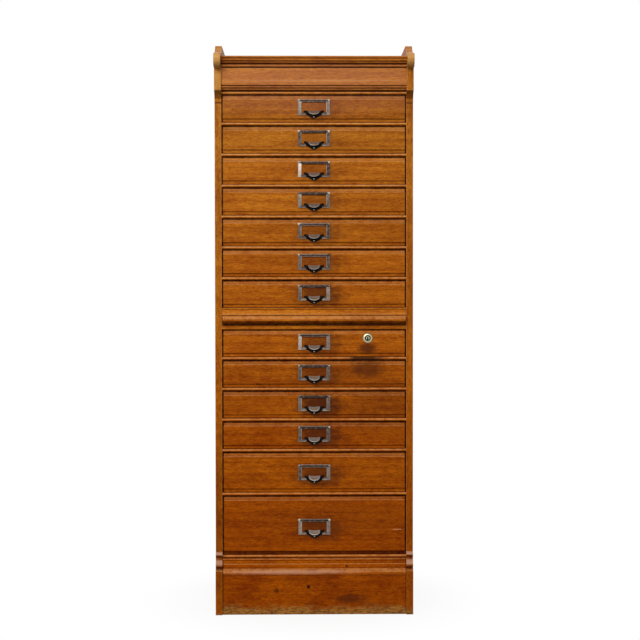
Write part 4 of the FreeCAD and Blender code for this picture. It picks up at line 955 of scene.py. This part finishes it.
def with_part(bm, build):
    """Builds a part in a mesh of its own and adds it, so that cuts and recalculations stay with it."""
    part = bmesh.new()
    build(part, part.faces.layers.float.new("polish"))
    bmesh.ops.recalc_face_normals(part, faces=part.faces)
    scratch = bpy.data.meshes.new("part")
    part.to_mesh(scratch)
    part.free()
    bm.from_mesh(scratch)
    bpy.data.meshes.remove(scratch)


def lip(bm, polish_layer):
    turned(bm, [(radius, 0, rise) for radius, rise in LIP_SECTION], UP, closed=False)
    bmesh.ops.rotate(bm, verts=bm.verts, cent=(0, 0, 0), matrix=Matrix.Rotation(LIP_TILT, 3, "X"))
    bmesh.ops.translate(bm, verts=bm.verts, vec=LIP_PLACE)
    behind_cut(bm, INSIDE_FRAME)
    bmesh.ops.recalc_face_normals(bm, faces=bm.faces)
    for face in bm.faces:
        up = face.normal.z * math.cos(LIP_TILT) - face.normal.y * math.sin(LIP_TILT)
        # The faces of the lip that don't look up are painted black: painted shade under it, with dark patina.
        face[polish_layer] = BLACK if up < 0.1 else RUBBED if up > 0.985 else BRIGHT


def ball(centre, radii, polish, cut_depth=None, turn=0.0):
    """A squashed sphere, turned in the plane of the front, and cut off behind a depth where one is given."""
    def build(bm, polish_layer):
        bmesh.ops.create_uvsphere(bm, u_segments=24, v_segments=14, radius=1.0)
        bmesh.ops.scale(bm, verts=bm.verts, vec=radii)
        bmesh.ops.rotate(bm, verts=bm.verts, cent=(0, 0, 0), matrix=Matrix.Rotation(turn, 3, "Y"))
        bmesh.ops.translate(bm, verts=bm.verts, vec=centre)
        if cut_depth is not None:
            behind_cut(bm, cut_depth)
        for face in bm.faces:
            face[polish_layer] = polish
    return build


def ear(x, z, radius, polish):
    """A round flat ear with a softened rim."""
    def build(bm, polish_layer):
        bmesh.ops.create_circle(bm, cap_ends=True, segments=32, radius=radius,
                                matrix=Matrix.Rotation(math.pi / 2, 4, "X"))
        raised(bm, bm.faces[:], EAR_THICK)
        bmesh.ops.translate(bm, verts=bm.verts, vec=(x, 0, z))
        rim = [edge for edge in bm.edges if max(vert.co.y for vert in edge.verts) < 0.1 - EAR_THICK]
        bevelled(bm, rim, 0.6)
        for face in bm.faces:
            face[polish_layer] = polish
    return build


print("lip section:", len(LIP_SECTION), "points")

# %% [markdown]
# The pull is built once and copied to the thirteen drawers. Hands rub each one differently, so a seeded
# generator draws for every copy how far its sides, top, middle and pins are rubbed. The lower lips are
# brighter than the upper ones, and three left sides have the wear that is seen on the real ones.

# %% Thirteen pulls
FIELD_TO_TOP = 0.041
SIDES_FROM, TOP_FROM, PINS_FROM, PINS_PROUD = 0.029, 0.031, 0.034, 0.0022
WEAR_RANGE = {"left": (-0.1, 0.3), "right": (-0.15, 0.25), "left pin": (-0.3, 0.6), "right pin": (-0.3, 0.6),
              "top": (-0.35, 0.35), "middle": (-0.1, 0.1)}
LAST_UPPER, LOWER_LIPS_RUBBED = 6, 0.2
LEFT_SIDE_RUBBED = {3: 0.55, 8: 0.5, 1: 0.1}


def pull_mesh():
    bm = bmesh.new()
    pull_frame(bm, bm.faces.layers.float.new("polish"))
    built = [lip]
    for side in (-1, 1):
        # The bosses beside the lip are painted black: painted shade under the lip.
        built += [ball((side * 17.3, 0.5, 6.2), (9.2, 6.5, 4.0), BLACK, INSIDE_FRAME, -side * BOSS_TURN),
                  ear(side * 37.8, 36.8, 3.4, DULL),
                  ball((side * 37.8, -EAR_THICK, 36.8), (1.9, 1.2, 1.9), EDGE)]
    for build in [*built, ball((0, -FRAME_THICK, -4.6), (2.1, 1.5, 2.1), RUBBED)]:
        with_part(bm, build)
    bmesh.ops.scale(bm, verts=bm.verts, vec=(MM, MM, MM))
    mesh = bpy.data.meshes.new("pull_pattern")
    bm.to_mesh(mesh)
    bm.free()
    return mesh


def region(place):
    """The part of a pull that wears together: a side, a top corner's pin, the top strip or the middle."""
    side = "left" if place.x < 0 else "right"
    if abs(place.x) > SIDES_FROM:
        return side + (" pin" if place.z > PINS_FROM and place.y < -PINS_PROUD else "")
    return "top" if place.z > TOP_FROM else "middle"


pattern = pull_mesh()
for number in DRAWERS:
    name = f"drawer_{number:02d}_pull"
    draw = random.Random(name)
    change = {part: draw.uniform(*limits) for part, limits in WEAR_RANGE.items()}
    if number > LAST_UPPER:
        change["middle"] += LOWER_LIPS_RUBBED
    change["left"] = LEFT_SIDE_RUBBED.get(number, change["left"])
    bm = bmesh.new()
    bm.from_mesh(pattern)
    polish_layer = bm.faces.layers.float["polish"]
    for face in bm.faces:
        if face[polish_layer] > 0:
            face[polish_layer] += change[region(face.calc_center_median())]
    lower_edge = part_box(name)[1].z - FIELD_TO_TOP
    bmesh.ops.translate(bm, verts=bm.verts, vec=(0, FIELD, lower_edge))
    finish_piece(bm, name + "_casting", name, brass_aged, even_shading=False)
bpy.data.meshes.remove(pattern)

# %% [markdown]
# ## Lock
# The lock's face is a turned piece: a flange that falls away to its rim, with a sunk ring round the
# plug. Its section is drawn once and spun round the plug's axis. The plug starts from its node's shape
# and is a piece of its own, because its key slot turns with it.

# %% Lock face
LOCK_AXIS = Vector((0.134, FIELD, 0.6935))
LOCK_SECTION = [(6.4, 8.0), (6.4, -2.6), (7.0, -4.0), (7.7, -4.5), (8.7, -4.4), (10.2, -3.8),
                (11.6, -2.8), (12.6, -1.7), (13.0, -0.8), (13.0, 0.0), (9.0, 0.0), (9.0, 8.0)]
SUNK_RING = 7.3
PLUG_FACE_SHARE, PLUG_FACE_DEPTH = 0.82, 0.2 * MM
SLOT_REACH, SLOT_SHARE, SLOT_DROP = 5 * MM, (2.3, 1.0, 0.95), 0.8 * MM


def lock_face():
    bm = bmesh.new()
    polish_layer = bm.faces.layers.float.new("polish")
    turned(bm, [(radius, depth, 0) for radius, depth in LOCK_SECTION], (0, 1, 0), closed=True)
    bmesh.ops.recalc_face_normals(bm, faces=bm.faces)
    for face in bm.faces:
        centre = face.calc_center_median()
        # The left half of the sunk ring is painted black as shade.
        sunk = EDGE if centre.x > 1 else BLACK
        face[polish_layer] = BRIGHT if math.hypot(centre.x, centre.z) > SUNK_RING else sunk
    bmesh.ops.scale(bm, verts=bm.verts, vec=(MM, MM, MM))
    bmesh.ops.translate(bm, verts=bm.verts, vec=LOCK_AXIS)
    finish_piece(bm, "lock_face", "lock_cylinder", brass_bright, even_shading=False)


def lock_plug():
    """The node's plug with a smaller face and a wider, lower key slot."""
    bm = whole_mesh("lock_plug")
    face_back = min(vert.co.y for vert in bm.verts) + PLUG_FACE_DEPTH
    for vert in bm.verts:
        offset = vert.co - LOCK_AXIS
        if vert.co.y < face_back and math.hypot(offset.x, offset.z) > SLOT_REACH:
            vert.co = LOCK_AXIS + Vector((offset.x * PLUG_FACE_SHARE, offset.y, offset.z * PLUG_FACE_SHARE))
        elif vert.co.y < face_back:
            vert.co = LOCK_AXIS + offset * Vector(SLOT_SHARE) - Vector((0, 0, SLOT_DROP))
    polish_layer = bm.faces.layers.float.new("polish")
    # Everything but the flat face, the key slot and the gap round it too, is painted black as shade.
    for face in bm.faces:
        flat = face.normal.y < -0.95 and face.calc_center_median().y < face_back
        face[polish_layer] = BRIGHT if flat else BLACK
    finish_piece(bm, "lock_plug_turned", "lock_plug", brass_bright)


lock_face()
lock_plug()
for name in ("lock_case", "lock_bolt", "lock_screws"):
    node_mesh = frame["nodes"][name].data
    for number in range(len(node_mesh.materials)):
        node_mesh.materials[number] = steel
print("lock done")
